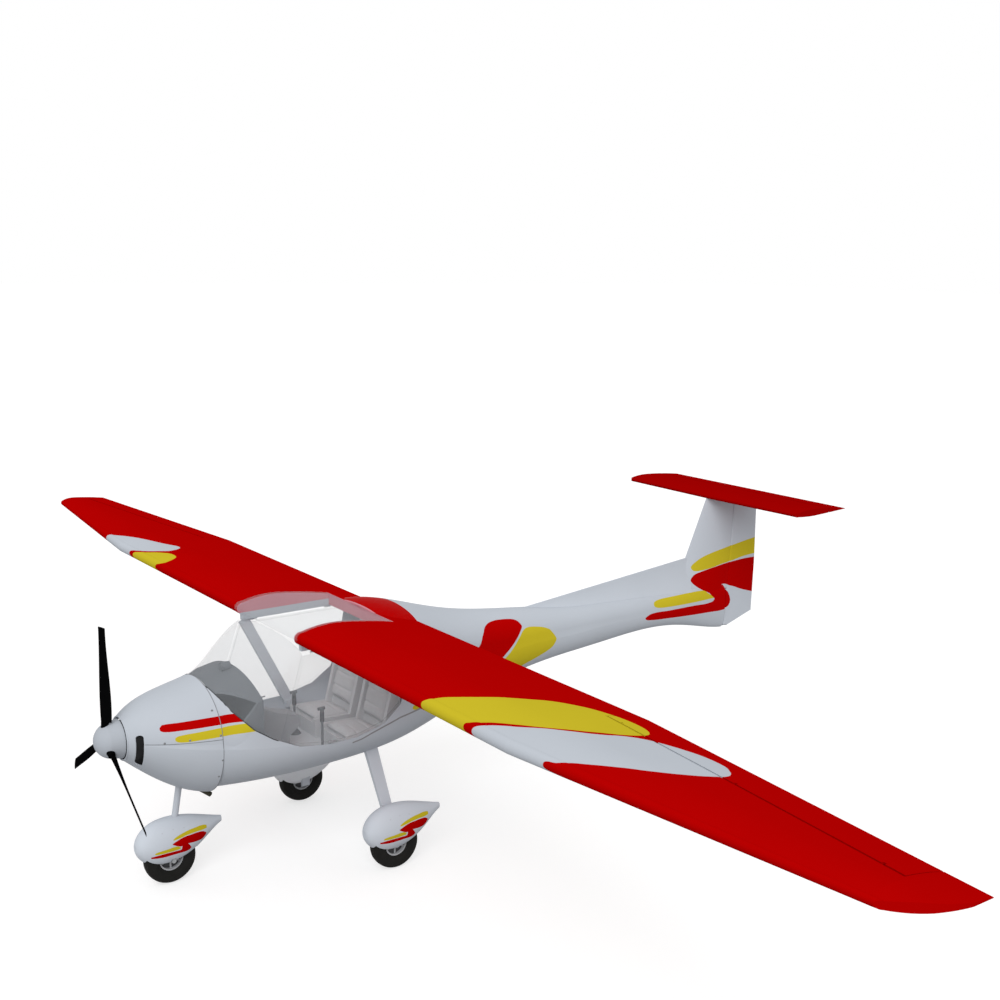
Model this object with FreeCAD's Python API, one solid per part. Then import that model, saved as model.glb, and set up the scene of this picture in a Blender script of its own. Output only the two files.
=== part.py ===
"""Two-seat high-wing microlight aircraft with a T-tail, built node by node.

Millimetres. +Z up, nose towards -Y, the pilot's left side at +X. Lengths along the
aircraft are given as stations, counted aft from the spinner's tip. The frame's origin
is on the ground, in the plane of symmetry, half-way along the overall length.
"""

import FreeCAD
import Part
import math
import os

V = FreeCAD.Vector

# ---------------------------------------------------------------- driving dimensions
LENGTH = 6100.0          # spinner tip to rudder trailing edge
HALF_SPAN = 5400.0

WHEEL_R = 175.0
TYRE_W = 106.0
RIM_R = 84.0
RIM_WALL = 9.0
HUB_R = 27.0
SPOKE_HOLES = 6
SPOKE_HOLE_R = 18.0
AXLE_R = 15.0
BEARING_GAP = 0.05       # radial running clearance of a wheel on its axle
FIT_GAP = 0.3            # between curved faces of different pieces
MOVING_GAP = 7.0         # between a moving piece and its neighbours
WELL_GAP = 9.0           # between a tyre and the fairing round it

MAIN_STATION = 1812.0
MAIN_TRACK_HALF = 714.0
NOSE_STATION = 470.0
LEG_TOP = (575.0, 800.0)      # station, height of the nose leg's upper end
NOSE_LEG_R = 22.0
FORK_ARM_R = 9.0
MAIN_LEG_CHORD = 84.0
MAIN_LEG_THICK = 26.0

PROP_STATION = 76.0
PROP_Z = 1094.0
PROP_R = 772.0
SHANK_R = 24.0
HUB_FRONT = 36.0
HUB_OUTER_R = 62.0
SHAFT_R = 28.0
SPINNER_LENGTH = 164.0
SPINNER_R = 132.0

COWL_JOINT = 700.0
COWL_SPLIT_Z = 1098.0
COWL_WALL = 4.0
COWL_LIP_R = 7.0         # rolled edge round the spinner
INLET_R = 202.0          # the kidney inlets follow this circle round the shaft
INLET_HALF_W = 19.0
INLET_ARC = (13.0, -43.0)     # degrees above and below the shaft
FIREWALL = 706.0
ENGINE_FRONT = 330.0
ENGINE_BACK = 680.0
ENGINE_LOW = 925.0
ENGINE_HEIGHT = 300.0
ENGINE_HALF = 190.0
ENGINE_MOUNT_R = 11.0
PIPE_R = 17.0
PIPE_WALL = 2.0
PIPE_X = 90.0
PIPE_BEND = (560.0, 734.0)    # station, height of the exhaust's bend and of its open end
PIPE_END = (738.0, 590.0)

SHELL_WALL = 8.0
GLASS_WALL = 3.0
FRAME_WALL = 16.0
FRAME_WIDTH = 14.0
SEAM = 6.0               # gap all round a door
DOOR_TOP = 1594.0
DOOR_HINGE = (492.0, 1603.0)  # side offset and height of the door's hinge line
DOOR_HINGES = (1340.0, 1960.0)
KNUCKLE_R = 8.0
KNUCKLE_HALF = 12.0
PIN_R = 4.0
PIN_GAP = 0.05           # radial running clearance of a hinge pin
RAIL_Z = 1616.0          # lower edge of the roof rail over a door
RAIL_W = 44.0
RAIL_DEPTH = 40.0
REAR_FRAME = 2092.0      # station of the cabin glass's rear edge
RAIL_END = 2150.0

FLOOR_Z = 760.0
FLOOR_THICK = 8.0
BULKHEAD = 2204.0
DASH_REAR = 970.0
DASH_LOW = 1066.0
DASH_WALL = 8.0
CONSOLE_HALF = 74.0
STICK_X = 217.0
STICK_STATION = 1527.0
STICK_TOP = 1078.0
STICK_R = 9.0
SEAT_X = 240.0
SEAT_HALF = 200.0
SEAT_EDGE = 34.0         # thickness of a seat's side bolster
PILLAR_HALF = 40.0
PILLAR_THICK = 22.0

ROOT_X = 496.0
ROOT_LE = 1206.0
ROOT_CHORD = 1020.0
KINK_X = 2900.0
TIP_X = 5150.0
TIP_LE = 1424.0
TIP_CHORD = 534.0
WING_Z = 1700.0          # height of the leading edge
TIP_RISE = 6.0
WING_THICK = 0.15        # thickness over chord
INCIDENCE = 3.6          # degrees
ROOF_REAR = 1944.0       # station of the roof window's rear edge

AILERON_IN = 2840.0
AILERON_OUT = 5130.0
AILERON_CHORD = 262.0
HINGE_NOSE_R = 23.0
COVE_GAP = 17.0
TIE_X = 2900.0           # wing tie-down socket: side offset, station, radius, top
TIE_S = 1560.0
TIE_R = 5.0
TIE_TOP = 1665.0

TAIL_HALF_SPAN = 1062.0
TAIL_LE = 5452.0
TAIL_CHORD = 630.0
TAIL_Z = 2168.0
TAIL_THICK = 0.095
TAIL_TIP_R = 70.0        # corner radius of the tailplane's tips, seen from above
ELEVATOR_HINGE = 5884.0
ELEVATOR_NOSE_R = 13.0

TAIL_POST = 5690.0       # station of the boom's rear end
RUDDER_FOOT = (5722.0, 930.0)     # station, height of the hinge line's lower end
RUDDER_HEAD = (5812.0, 2086.0)
RUDDER_GAP = 20.0
RUDDER_HALF = 26.0       # half thickness of the rudder at its hinge
RUDDER_EDGE = 4.0        # half thickness of its trailing edge
SKIN = 2.5               # skin of the hollow tail surfaces

WIDE = 700.0             # beyond either side of the fuselage
HIGH = 2000.0            # above the cabin roof

PARTS = "parts"
NODES = []


# ---------------------------------------------------------------- helpers
def P(x, station, z):
    """A point from its side offset, station and height."""
    return V(x, station, z)


def put(name, shape):
    """Writes one node, moved from stations to the frame's origin."""
    solid = shape.copy()
    solid.translate(V(0, -LENGTH / 2, 0))
    solids = solid.Solids
    if not solids:
        raise RuntimeError(name + " has no solid")
    out = solids[0] if len(solids) == 1 else Part.makeCompound(solids)
    if not out.isValid():
        print("not valid:", name)
    out.exportStep(os.path.join(PARTS, name + ".step"))
    NODES.append((name, len(solids), out.Volume / 1e9, out.BoundBox))


def biggest(shape):
    """The largest solid of a cut, without its crumbs."""
    return max(shape.Solids, key=lambda s: s.Volume)


def mirrored(shape):
    return shape.mirror(V(0, 0, 0), V(1, 0, 0))


def box(x0, x1, s0, s1, z0, z1):
    return Part.makeBox(x1 - x0, s1 - s0, z1 - z0, P(x0, s0, z0))


def rod(a, b, radius):
    d = b.sub(a)
    return Part.makeCylinder(radius, d.Length, a, d)


def quarter(center, a, b):
    """A quarter ellipse about a centre, from one semi-axis end to the other."""
    ra = a.sub(center).Length
    rb = b.sub(center).Length
    if abs(ra - rb) < 1e-6:
        mid = a.add(b).sub(center).sub(center)
        mid = center.add(mid.normalize().multiply(ra))
        return Part.Arc(a, mid, b).toShape()
    major, minor = (a, b) if ra > rb else (b, a)
    ellipse = Part.Ellipse(major, minor, center)
    p0 = ellipse.parameter(a)
    p1 = ellipse.parameter(b)
    if (p1 - p0) % (2 * math.pi) < math.pi:
        return ellipse.toShape(p0, p0 + (p1 - p0) % (2 * math.pi))
    return ellipse.toShape(p1, p1 + (p0 - p1) % (2 * math.pi))


def body_wire(section, inset=0.0):
    """One fuselage cross-section: an elliptical belly, leaning sides, an elliptical top."""
    station, z_low, z_mid, w_mid, z_up, w_up, z_top = section
    z_low, w_mid, w_up, z_top = z_low + inset, w_mid - inset, w_up - inset, z_top - inset
    low, top = P(0, station, z_low), P(0, station, z_top)
    edges = []
    for side in (1, -1):
        mid = P(side * w_mid, station, z_mid)
        up = P(side * w_up, station, z_up)
        run = [quarter(P(0, station, z_mid), low, mid),
               Part.makeLine(mid, up),
               quarter(P(0, station, z_up), up, top)]
        edges += run if side == 1 else run[::-1]
    return Part.Wire(Part.__sortEdges__(edges))


def body_loft(table, inset=0.0, ruled=False):
    return Part.makeLoft([body_wire(row, inset) for row in table], True, ruled)


def outline_prism(points, x0, x1):
    """A side-view outline of (station, height) corners, drawn out across the aircraft."""
    wire = Part.makePolygon([P(x0, s, z) for s, z in points + points[:1]])
    return Part.Face(wire).extrude(V(x1 - x0, 0, 0))


# ---------------------------------------------------------------- fuselage form
# station, belly z, widest z, half width, shoulder z, half width there, top z
COWL_SECTIONS = [
    (172, 946, 1094, 148, 1096, 148, 1242),
    (300, 836, 1086, 262, 1096, 260, 1316),
    (470, 712, 1062, 362, 1084, 356, 1364),
    (700, 616, 1030, 440, 1070, 434, 1412),
]
FUSELAGE_SECTIONS = [
    (700, 648, 1030, 440, 1070, 434, 1412),
    (980, 638, 1000, 516, 1290, 498, 1588),
    (1240, 638, 985, 548, 1600, 507, 1668),
    (1700, 655, 975, 556, 1606, 502, 1672),
    (2140, 705, 1010, 510, 1560, 474, 1724),
    (2560, 790, 1080, 374, 1400, 350, 1612),
    (3000, 888, 1170, 250, 1290, 240, 1520),
    (3560, 985, 1210, 174, 1262, 170, 1452),
    (4300, 1046, 1220, 132, 1255, 130, 1400),
    (5000, 1058, 1200, 102, 1245, 100, 1380),
    (5400, 984, 1180, 76, 1235, 74, 1380),
    (5690, 930, 1150, 52, 1230, 50, 1380),
]

# lower edge of the cabin's glass: station, height, from the cowl joint round to the wing
SILL = [
    (640, 1440), (706, 1384), (780, 1262), (890, 1140), (1010, 1058), (1190, 972),
    (1400, 942), (1620, 945), (1840, 998), (1990, 1110), (2054, 1300), (REAR_FRAME, 1600),
]
DOOR_FRONT = [(1236, 1594), (1060, 1034)]


def sill_below(station):
    """Height of the glass's lower edge at a station."""
    for (s0, z0), (s1, z1) in zip(SILL, SILL[1:]):
        if s0 <= station <= s1:
            return z0 + (z1 - z0) * (station - s0) / (s1 - s0)
    return SILL[-1][1]


def glass_region(x0, x1):
    """Everything above the sill line, ahead of the rear frame."""
    return outline_prism(SILL + [(REAR_FRAME, HIGH), (SILL[0][0], HIGH)], x0, x1)


def door_outline(inset):
    """The door's corners in side view, moved in from the opening by an inset."""
    foot = DOOR_FRONT[1][0]
    low = [(s, z) for s, z in SILL if s > foot]
    points = [(foot, sill_below(foot))] + low[:-1] + [(REAR_FRAME - 2, DOOR_TOP), DOOR_FRONT[0]]
    if inset == 0:
        return points
    wire = Part.makePolygon([P(0, s, z) for s, z in points + points[:1]])
    inner = Part.Face(wire).makeOffset2D(-inset, 2)
    edges = Part.__sortEdges__(inner.OuterWire.Edges)
    return [(e.firstVertex(True).Point.y, e.firstVertex(True).Point.z) for e in edges]


def build_fuselage():
    """The cabin and boom in one hollow moulding, open at the firewall and round the glass."""
    outer = body_loft(FUSELAGE_SECTIONS)
    closing = box(-WIDE, WIDE, TAIL_POST - 20, TAIL_POST + 10, 800, 1500)
    shell = outer.cut(body_loft(FUSELAGE_SECTIONS, SHELL_WALL).cut(closing))
    strip = box(-WIDE, WIDE, 600, REAR_FRAME, RAIL_Z, HIGH)
    windscreen_cut = outline_prism([(600, 1380), (COWL_JOINT, 1380), DOOR_FRONT[0],
                                    (DOOR_FRONT[0][0], HIGH), (600, HIGH)], -WIDE, WIDE)
    shell = shell.cut(glass_region(-WIDE, WIDE).cut(strip)).cut(windscreen_cut)
    roof_hole = box(-WIDE, WIDE, 1180, ROOF_REAR, RAIL_Z, HIGH)
    shell = biggest(shell.cut(roof_hole).cut(wing_saddle()))
    for side in (1, -1):
        shell = shell.fuse(roof_rail(side))
        for station in DOOR_HINGES:
            shell = shell.fuse(door_knuckle(station, side))
    put("fuselage_shell", biggest(shell.fuse(rudder_foot_lug())))
    return outer


def roof_rail(side):
    """The beam over a door that carries the wing's root and the edge of the roof window."""
    x0, x1 = ROOT_X - FIT_GAP - RAIL_W, ROOT_X - FIT_GAP
    section = [wing_wire(x, ROOT_LE + 2, ROOT_CHORD, WING_Z - GLASS_WALL - FIT_GAP)
               for x in (x0, x1)]
    rail = Part.makeLoft(section, True, True)
    rail = rail.common(box(0, WIDE, ROOT_LE, ROOF_REAR - FIT_GAP, 1500, HIGH))
    low = box(x0, x1 - 8, DOOR_FRONT[0][0] + 8, RAIL_END, RAIL_Z, RAIL_Z + RAIL_DEPTH)
    post = box(x0 - 10, 474, REAR_FRAME + SEAM, RAIL_END, 1520, RAIL_Z + 16)
    rail = rail.fuse(low.fuse(post).cut(wing_room_behind())).removeSplitter()
    return rail if side == 1 else mirrored(rail)


def wing_room_behind():
    """Where the wing's middle piece lies, behind the roof window."""
    return wing_saddle().common(box(-WIDE, WIDE, ROOF_REAR - FIT_GAP, 2400, 1400, HIGH))


def wing_saddle():
    """The room that the wing takes in the fuselage, a fit's gap larger above and below."""
    saddle = None
    for shift in (-FIT_GAP, FIT_GAP):
        loft = Part.makeLoft([wing_wire(x, ROOT_LE, ROOT_CHORD, WING_Z + shift)
                              for x in (-WIDE, WIDE)], True, True)
        saddle = loft if saddle is None else saddle.fuse(loft)
    return saddle


def door_knuckle(station, side):
    """The fixed half of a door hinge: a knuckle under the roof rail, with its pin."""
    x, z = DOOR_HINGE
    s0, s1 = station - KNUCKLE_HALF, station + KNUCKLE_HALF
    knuckle = rod(P(x, s0, z), P(x, s1, z), KNUCKLE_R)
    web = box(x - KNUCKLE_R, x, s0, s1, z, RAIL_Z + 4)
    reach = 2 * KNUCKLE_HALF
    pin = rod(P(x, s0 - reach, z), P(x, s1 + reach, z), PIN_R)
    piece = knuckle.fuse(web).fuse(pin)
    return piece if side == 1 else mirrored(piece)


def door_knuckles():
    """The moving halves: two knuckles beside each fixed one, on the door's upper edge."""
    x, z = DOOR_HINGE
    out = []
    near, far = KNUCKLE_HALF + 2 * FIT_GAP, 3 * KNUCKLE_HALF - 2
    for station in DOOR_HINGES:
        for s0, s1 in ((station - far, station - near), (station + near, station + far)):
            knuckle = rod(P(x, s0, z), P(x, s1, z), KNUCKLE_R)
            web = box(x - KNUCKLE_R, x + 3, s0, s1, DOOR_TOP - SEAM - 6, z)
            bore = rod(P(x, s0 - 1, z), P(x, s1 + 1, z), PIN_R + PIN_GAP)
            out.append(knuckle.fuse(web).cut(bore))
    return out


def rudder_foot_lug():
    """The lower rudder hinge: a lug on the tail post with a pin that stands in the rudder."""
    z = RUDDER_FOOT[1] + 16
    lug = box(-11, 11, TAIL_POST - 15, rudder_hinge(z) + 10, z - 5, z)
    return lug.fuse(rudder_pin(z - 1, z + 24, PIN_R))


def rudder_pin(z0, z1, radius):
    return rod(P(0, rudder_hinge(z0), z0), P(0, rudder_hinge(z1), z1), radius)


def build_glass(body):
    """The windscreen, and a door on each side: a pane in a frame with its hinge knuckles."""
    layer = body.cut(body_loft(FUSELAGE_SECTIONS, GLASS_WALL))
    layer = layer.common(glass_region(-WIDE, WIDE))
    frame_layer = body.cut(body_loft(FUSELAGE_SECTIONS, FRAME_WALL))
    foot, head = DOOR_FRONT[1], DOOR_FRONT[0]
    front = outline_prism([(600, 900), (foot[0], 900), foot, head, (head[0], HIGH), (600, HIGH)],
                          -WIDE, WIDE)
    put("windscreen", biggest(layer.common(front).cut(box(-WIDE, WIDE, 500, COWL_JOINT + 2, 800,
                                                          HIGH))))
    opening = outline_prism(door_outline(SEAM), 0, WIDE)
    inner = outline_prism(door_outline(SEAM + FRAME_WIDTH), 0, WIDE)
    frame = biggest(frame_layer.common(opening).cut(inner))
    for knuckle in door_knuckles():
        frame = frame.fuse(knuckle)
    frame = biggest(frame)
    pane = biggest(layer.common(inner))
    for side, name in ((1, "left"), (-1, "right")):
        put("door_" + name, frame if side == 1 else mirrored(frame))
        put("door_glass_" + name, pane if side == 1 else mirrored(pane))


# ---------------------------------------------------------------- engine bay
def inlet_room():
    """The two kidney inlets beside the spinner: arcs about the shaft with round ends."""
    z0, z1 = (math.radians(a) for a in INLET_ARC)
    depth = ENGINE_FRONT - SPINNER_LENGTH

    def at(radius, angle):
        return P(radius * math.cos(angle), SPINNER_LENGTH, PROP_Z + radius * math.sin(angle))

    outer, inner, middle = INLET_R + INLET_HALF_W, INLET_R - INLET_HALF_W, (z0 + z1) / 2
    cap = INLET_HALF_W / INLET_R
    edges = [Part.Arc(at(outer, z0), at(outer, middle), at(outer, z1)).toShape(),
             Part.Arc(at(outer, z1), at(INLET_R, z1 - cap), at(inner, z1)).toShape(),
             Part.Arc(at(inner, z1), at(inner, middle), at(inner, z0)).toShape(),
             Part.Arc(at(inner, z0), at(INLET_R, z0 + cap), at(outer, z0)).toShape()]
    room = Part.Face(Part.Wire(edges)).extrude(V(0, depth, 0))
    return room.fuse(mirrored(room))


def pipe_run(radius):
    """The exhaust: straight down from the engine, then aft and down out of the chin."""
    start = P(PIPE_X, PIPE_BEND[0], ENGINE_LOW - FIT_GAP)
    bend, end = P(PIPE_X, *PIPE_BEND), P(PIPE_X, *PIPE_END)
    return rod(start, bend, radius).fuse(Part.makeSphere(radius, bend)).fuse(rod(bend, end, radius))


def build_nose():
    """The two cowlings with their chin outlet, the firewall, engine and exhaust."""
    shell = body_loft(COWL_SECTIONS).cut(body_loft(COWL_SECTIONS, COWL_WALL))
    front, low, _, half = COWL_SECTIONS[0][:4]
    lip = Part.makeTorus(half - COWL_WALL, COWL_LIP_R, P(0, front, low + half), V(0, 1, 0))
    leg_hole = rod(P(0, 520, 500), P(0, 590, 860), 2 * NOSE_LEG_R)
    shell = shell.fuse(lip).cut(inlet_room()).cut(leg_hole)
    back = COWL_JOINT - FIT_GAP
    upper = shell.common(box(-WIDE, WIDE, 0, back, COWL_SPLIT_Z, HIGH))
    lower = shell.common(box(-WIDE, WIDE, 0, back, 500, COWL_SPLIT_Z - FIT_GAP))
    put("cowl_upper", biggest(upper))
    put("cowl_lower", biggest(lower.cut(pipe_run(PIPE_R + 2))))
    wall = body_wire((FIREWALL,) + FUSELAGE_SECTIONS[0][1:], SHELL_WALL + FIT_GAP)
    put("firewall", Part.Face(wall).extrude(V(0, 4, 0)))
    engine = box(-ENGINE_HALF, ENGINE_HALF, ENGINE_FRONT, ENGINE_BACK, ENGINE_LOW,
                 ENGINE_LOW + ENGINE_HEIGHT)
    for x in (40 - ENGINE_HALF, ENGINE_HALF - 40):
        for z in (ENGINE_LOW + 40, ENGINE_LOW + ENGINE_HEIGHT - 40):
            engine = engine.fuse(rod(P(x, ENGINE_BACK - 5, z), P(x, FIREWALL, z),
                                     ENGINE_MOUNT_R))
    put("engine", engine)
    put("exhaust_pipe", biggest(pipe_run(PIPE_R).cut(pipe_run(PIPE_R - PIPE_WALL))))


def build_propeller():
    """The spinner, an ogive revolved about the shaft, the hub inside it and three blades."""
    center = P(0, PROP_STATION, PROP_Z)
    tip, back = P(0, 0, PROP_Z), P(0, SPINNER_LENGTH, PROP_Z)
    shoulder = P(0, PROP_STATION, PROP_Z + 0.86 * SPINNER_R)
    rim = P(0, SPINNER_LENGTH, PROP_Z + SPINNER_R)
    side = Part.Arc(tip, P(0, 15, PROP_Z + 0.45 * SPINNER_R), shoulder).toShape()
    profile = Part.Wire([side, Part.makeLine(shoulder, rim), Part.makeLine(rim, back),
                         Part.makeLine(back, tip)])
    spinner = Part.Face(profile).revolve(tip, V(0, 1, 0), 360)
    spinner = spinner.cut(rod(P(0, HUB_FRONT, PROP_Z), back, HUB_OUTER_R))
    hub = rod(P(0, HUB_FRONT + FIT_GAP, PROP_Z), back, HUB_OUTER_R - FIT_GAP)
    hub = hub.fuse(rod(back, P(0, ENGINE_FRONT - 2 * FIT_GAP, PROP_Z), SHAFT_R))
    socket = HUB_OUTER_R - 22
    for index, name in enumerate(("one", "two", "three")):
        pieces = (build_blade(socket), rod(center, center.add(V(0, 0, 170)), SHANK_R + 3),
                  rod(center.add(V(0, 0, socket)), center.add(V(0, 0, HUB_OUTER_R + 2)),
                      SHANK_R + FIT_GAP))
        for piece in pieces:
            piece.rotate(center, V(0, 1, 0), 120 * index)
        spinner = spinner.cut(pieces[1])
        hub = hub.cut(pieces[2])
        put("propeller_blade_" + name, pieces[0])
    put("spinner", biggest(spinner))
    put("propeller_hub", biggest(hub))


def build_blade(root):
    """One blade standing straight up: a round shank that flattens into a twisted blade."""
    # radius, chord, thickness, pitch angle
    stations = [(132, 78, 30, 40), (260, 94, 18, 31), (480, 90, 12, 22), (PROP_R, 76, 7, 15)]
    shank = rod(P(0, PROP_STATION, PROP_Z + root + 2 * FIT_GAP),
                P(0, PROP_STATION, PROP_Z + stations[0][0]), SHANK_R)
    wires = []
    for radius, chord, thick, pitch in stations:
        a, b = V(-0.35 * chord, 0, 0), V(0.65 * chord, 0, 0)
        back, face = V(0.1 * chord, -thick / 2, 0), V(0.1 * chord, thick / 2, 0)
        wire = Part.Wire([Part.Arc(a, back, b).toShape(), Part.Arc(b, face, a).toShape()])
        wire.rotate(V(0, 0, 0), V(0, 0, 1), pitch)
        wire.translate(P(0, PROP_STATION, PROP_Z + radius))
        wires.append(wire)
    return shank.fuse(Part.makeLoft(wires, True, False))


# ---------------------------------------------------------------- wing
def wing_wire(x, le, chord, z, thick=WING_THICK, incidence=INCIDENCE):
    """A cambered section of six arcs and lines, in a plane of constant x."""
    def at(u, w):
        a = math.radians(incidence)
        run, rise = u * chord, w * chord
        return P(x, le + run * math.cos(a) + rise * math.sin(a),
                 z - run * math.sin(a) + rise * math.cos(a))
    t = thick
    crest, belly = at(0.34, 0.62 * t), at(0.34, -0.38 * t)
    up, low = at(0.045, 0.33 * t), at(0.045, -0.24 * t)
    te_up, te_low = at(1, 0.004), at(1, -0.004)
    edges = [
        Part.Arc(te_up, at(0.68, 0.41 * t), crest).toShape(),
        Part.Arc(crest, at(0.17, 0.545 * t), up).toShape(),
        Part.Arc(up, at(0, 0.02 * t), low).toShape(),
        Part.Arc(low, at(0.17, -0.335 * t), belly).toShape(),
        Part.Arc(belly, at(0.68, -0.22 * t), te_low).toShape(),
        Part.makeLine(te_low, te_up),
    ]
    return Part.Wire(edges)


def wing_at(x):
    """Leading edge, chord and height of the wing's section at a side offset."""
    if x <= KINK_X:
        return ROOT_LE, ROOT_CHORD, WING_Z
    f = (x - KINK_X) / (TIP_X - KINK_X)
    return (ROOT_LE + f * (TIP_LE - ROOT_LE), ROOT_CHORD + f * (TIP_CHORD - ROOT_CHORD),
            WING_Z + f * TIP_RISE)


def hinge_point(x, chord_back):
    """A point on the wing's middle, a set distance ahead of its trailing edge."""
    le, chord, z = wing_at(x)
    a = math.radians(INCIDENCE)
    run = chord - chord_back
    u = run / chord
    camber = 0.10 * WING_THICK * chord * (1 - u)
    return P(x, le + run * math.cos(a), z - run * math.sin(a) + camber)


def surface_hinge(center, along, aft, reach):
    """A control surface's hinge: the fixed lug with its pin, and the slot that it needs."""
    up = along.cross(aft).normalize()
    if up.z < 0:
        up = up * -1
    back = up.cross(along).normalize()
    if back.y < 0:
        back = back * -1

    def block(half, front, rear, height):
        corner = center.sub(along * half).sub(back * front).sub(up * height)
        face = Part.Face(Part.makePolygon([
            corner, corner.add(back * (front + rear)),
            corner.add(back * (front + rear)).add(up * (2 * height)),
            corner.add(up * (2 * height)), corner]))
        return face.extrude(along * (2 * half))

    lug = block(4, reach, 0, 8).fuse(rod(center.sub(along * 4), center.add(along * 4), 8))
    lug = lug.fuse(rod(center.sub(along * 26), center.add(along * 26), PIN_R))
    slot = block(4 + MOVING_GAP, 90, 15, 80)
    slot = slot.fuse(rod(center.sub(along * 27), center.add(along * 27), PIN_R + PIN_GAP))
    return lug, slot


def build_wing():
    wires = []
    for x in (ROOT_X, KINK_X, TIP_X):
        le, chord, z = wing_at(x)
        wires.append(wing_wire(x, le, chord, z))
    le, chord, z = wing_at(HALF_SPAN)
    wires.append(wing_wire(HALF_SPAN, le, chord, z, 0.45 * WING_THICK))
    wing = Part.makeLoft(wires, True, True)
    te_tip = wing_at(HALF_SPAN)[0] + wing_at(HALF_SPAN)[1]
    tip_arc = Part.Arc(P(TIP_X - 30, TIP_LE - 30, 0), P(HALF_SPAN - 130, TIP_LE + 90, 0),
                       P(HALF_SPAN, te_tip + 40, 0)).toShape()
    # the planform's cutter, whose curved corner rounds the tip's leading edge
    base = [P(HALF_SPAN, te_tip + 40, 0), P(400, 2500, 0), P(400, 1000, 0),
            P(TIP_X - 30, 1000, 0), P(TIP_X - 30, TIP_LE - 30, 0)]
    plan = Part.Wire([tip_arc] + [Part.makeLine(a, b) for a, b in zip(base, base[1:])])
    planform = Part.Face(plan).extrude(V(0, 0, 2400))
    wing = biggest(wing.common(planform))

    inner, outer = hinge_point(AILERON_IN, AILERON_CHORD), hinge_point(AILERON_OUT, AILERON_CHORD)
    along = outer.sub(inner)
    # slabs behind the hinge line, seen from above
    def behind(x0, x1, shift):
        def s(x):
            return inner.y + along.y * (x - inner.x) / along.x + shift
        wire = Part.makePolygon([P(x0, s(x0), 1400), P(x1, s(x1), 1400), P(x1, 2600, 1400),
                                 P(x0, 2600, 1400), P(x0, s(x0), 1400)])
        return Part.Face(wire).extrude(V(0, 0, 600))
    d = V(along).normalize()
    cove = rod(inner.sub(d * 40), outer.add(d * 40), HINGE_NOSE_R + MOVING_GAP)
    span_box = box(AILERON_IN, AILERON_OUT, 1000, 2600, 1400, 2000)
    cut = behind(AILERON_IN, AILERON_OUT, -COVE_GAP).fuse(cove.common(span_box))
    fixed = biggest(wing.cut(cut))
    a0, a1 = AILERON_IN + MOVING_GAP, AILERON_OUT - MOVING_GAP
    nose = rod(inner.sub(d * 40), outer.add(d * 40), HINGE_NOSE_R)
    nose = nose.common(box(a0, a1, 1000, 2600, 1400, 2000))
    aileron = wing.common(behind(a0, a1, 0)).fuse(nose)
    aileron = aileron.removeSplitter()
    for share in (0.06, 0.5, 0.94):
        lug, slot = surface_hinge(inner.add(along * share), d, V(0, 1, 0), COVE_GAP + 22)
        fixed = fixed.fuse(lug)
        aileron = aileron.cut(slot)
    fixed = biggest(fixed).cut(rod(P(TIE_X, TIE_S, 1500), P(TIE_X, TIE_S, TIE_TOP), TIE_R))
    put("wing_left", fixed)
    put("wing_right", mirrored(fixed))
    put("aileron_left", biggest(aileron))
    put("aileron_right", mirrored(biggest(aileron)))

    center = Part.makeLoft([wing_wire(x, ROOT_LE, ROOT_CHORD, WING_Z)
                            for x in (-ROOT_X + FIT_GAP, ROOT_X - FIT_GAP)], True, True)
    put("wing_center", biggest(center.common(box(-WIDE, WIDE, ROOF_REAR, 2600, 1500, HIGH))))
    glass = center.cut(Part.makeLoft(
        [wing_wire(x, ROOT_LE + GLASS_WALL, ROOT_CHORD - GLASS_WALL, WING_Z - GLASS_WALL)
         for x in (-WIDE, WIDE)], True, True))
    glass = glass.common(box(-WIDE, WIDE, 1150, ROOF_REAR - FIT_GAP, WING_Z - 4, HIGH))
    put("roof_window", biggest(glass.cut(roof_rail(1)).cut(roof_rail(-1))))


# ---------------------------------------------------------------- tail
def lens_wire(z, s0, s1, thick):
    """A symmetric upright section: two arcs that meet at the front, a flat back."""
    nose = P(0, s0, z)
    mid = s0 + 0.35 * (s1 - s0)
    back_half = 0.28 * thick
    edges = [
        Part.Arc(P(back_half, s1, z), P(thick / 2, mid, z), nose).toShape(),
        Part.Arc(nose, P(-thick / 2, mid, z), P(-back_half, s1, z)).toShape(),
        Part.makeLine(P(-back_half, s1, z), P(back_half, s1, z)),
    ]
    return Part.Wire(edges)


def rudder_hinge(z):
    (s0, z0), (s1, z1) = RUDDER_FOOT, RUDDER_HEAD
    return s0 + (s1 - s0) * (z - z0) / (z1 - z0)


def tail_loft():
    """The whole tailplane with its elevator and rounded tips, before they are parted."""
    half, sweep = TAIL_HALF_SPAN, 20
    wires = [wing_wire(x, TAIL_LE + lag, TAIL_CHORD - lag, TAIL_Z, TAIL_THICK, 0)
             for x, lag in ((-half, sweep), (0, 0), (half, sweep))]
    plan = Part.makeBox(2 * half, TAIL_CHORD - sweep, 200, P(-half, TAIL_LE, TAIL_Z - 100))
    corners = [edge for edge in plan.Edges if edge.BoundBox.ZLength > 199]
    plan = plan.makeFillet(TAIL_TIP_R, [e for e in corners if e.BoundBox.YMin < TAIL_LE + 1])
    middle = box(-half / 2, half / 2, TAIL_LE - 10, TAIL_LE + TAIL_CHORD + 10, TAIL_Z - 100,
                 TAIL_Z + 100)
    rear = box(-half, half, TAIL_LE + TAIL_CHORD / 2, TAIL_LE + TAIL_CHORD + 10, TAIL_Z - 100,
               TAIL_Z + 100)
    return Part.makeLoft(wires, True, True).common(plan.fuse(middle).fuse(rear))


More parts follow.
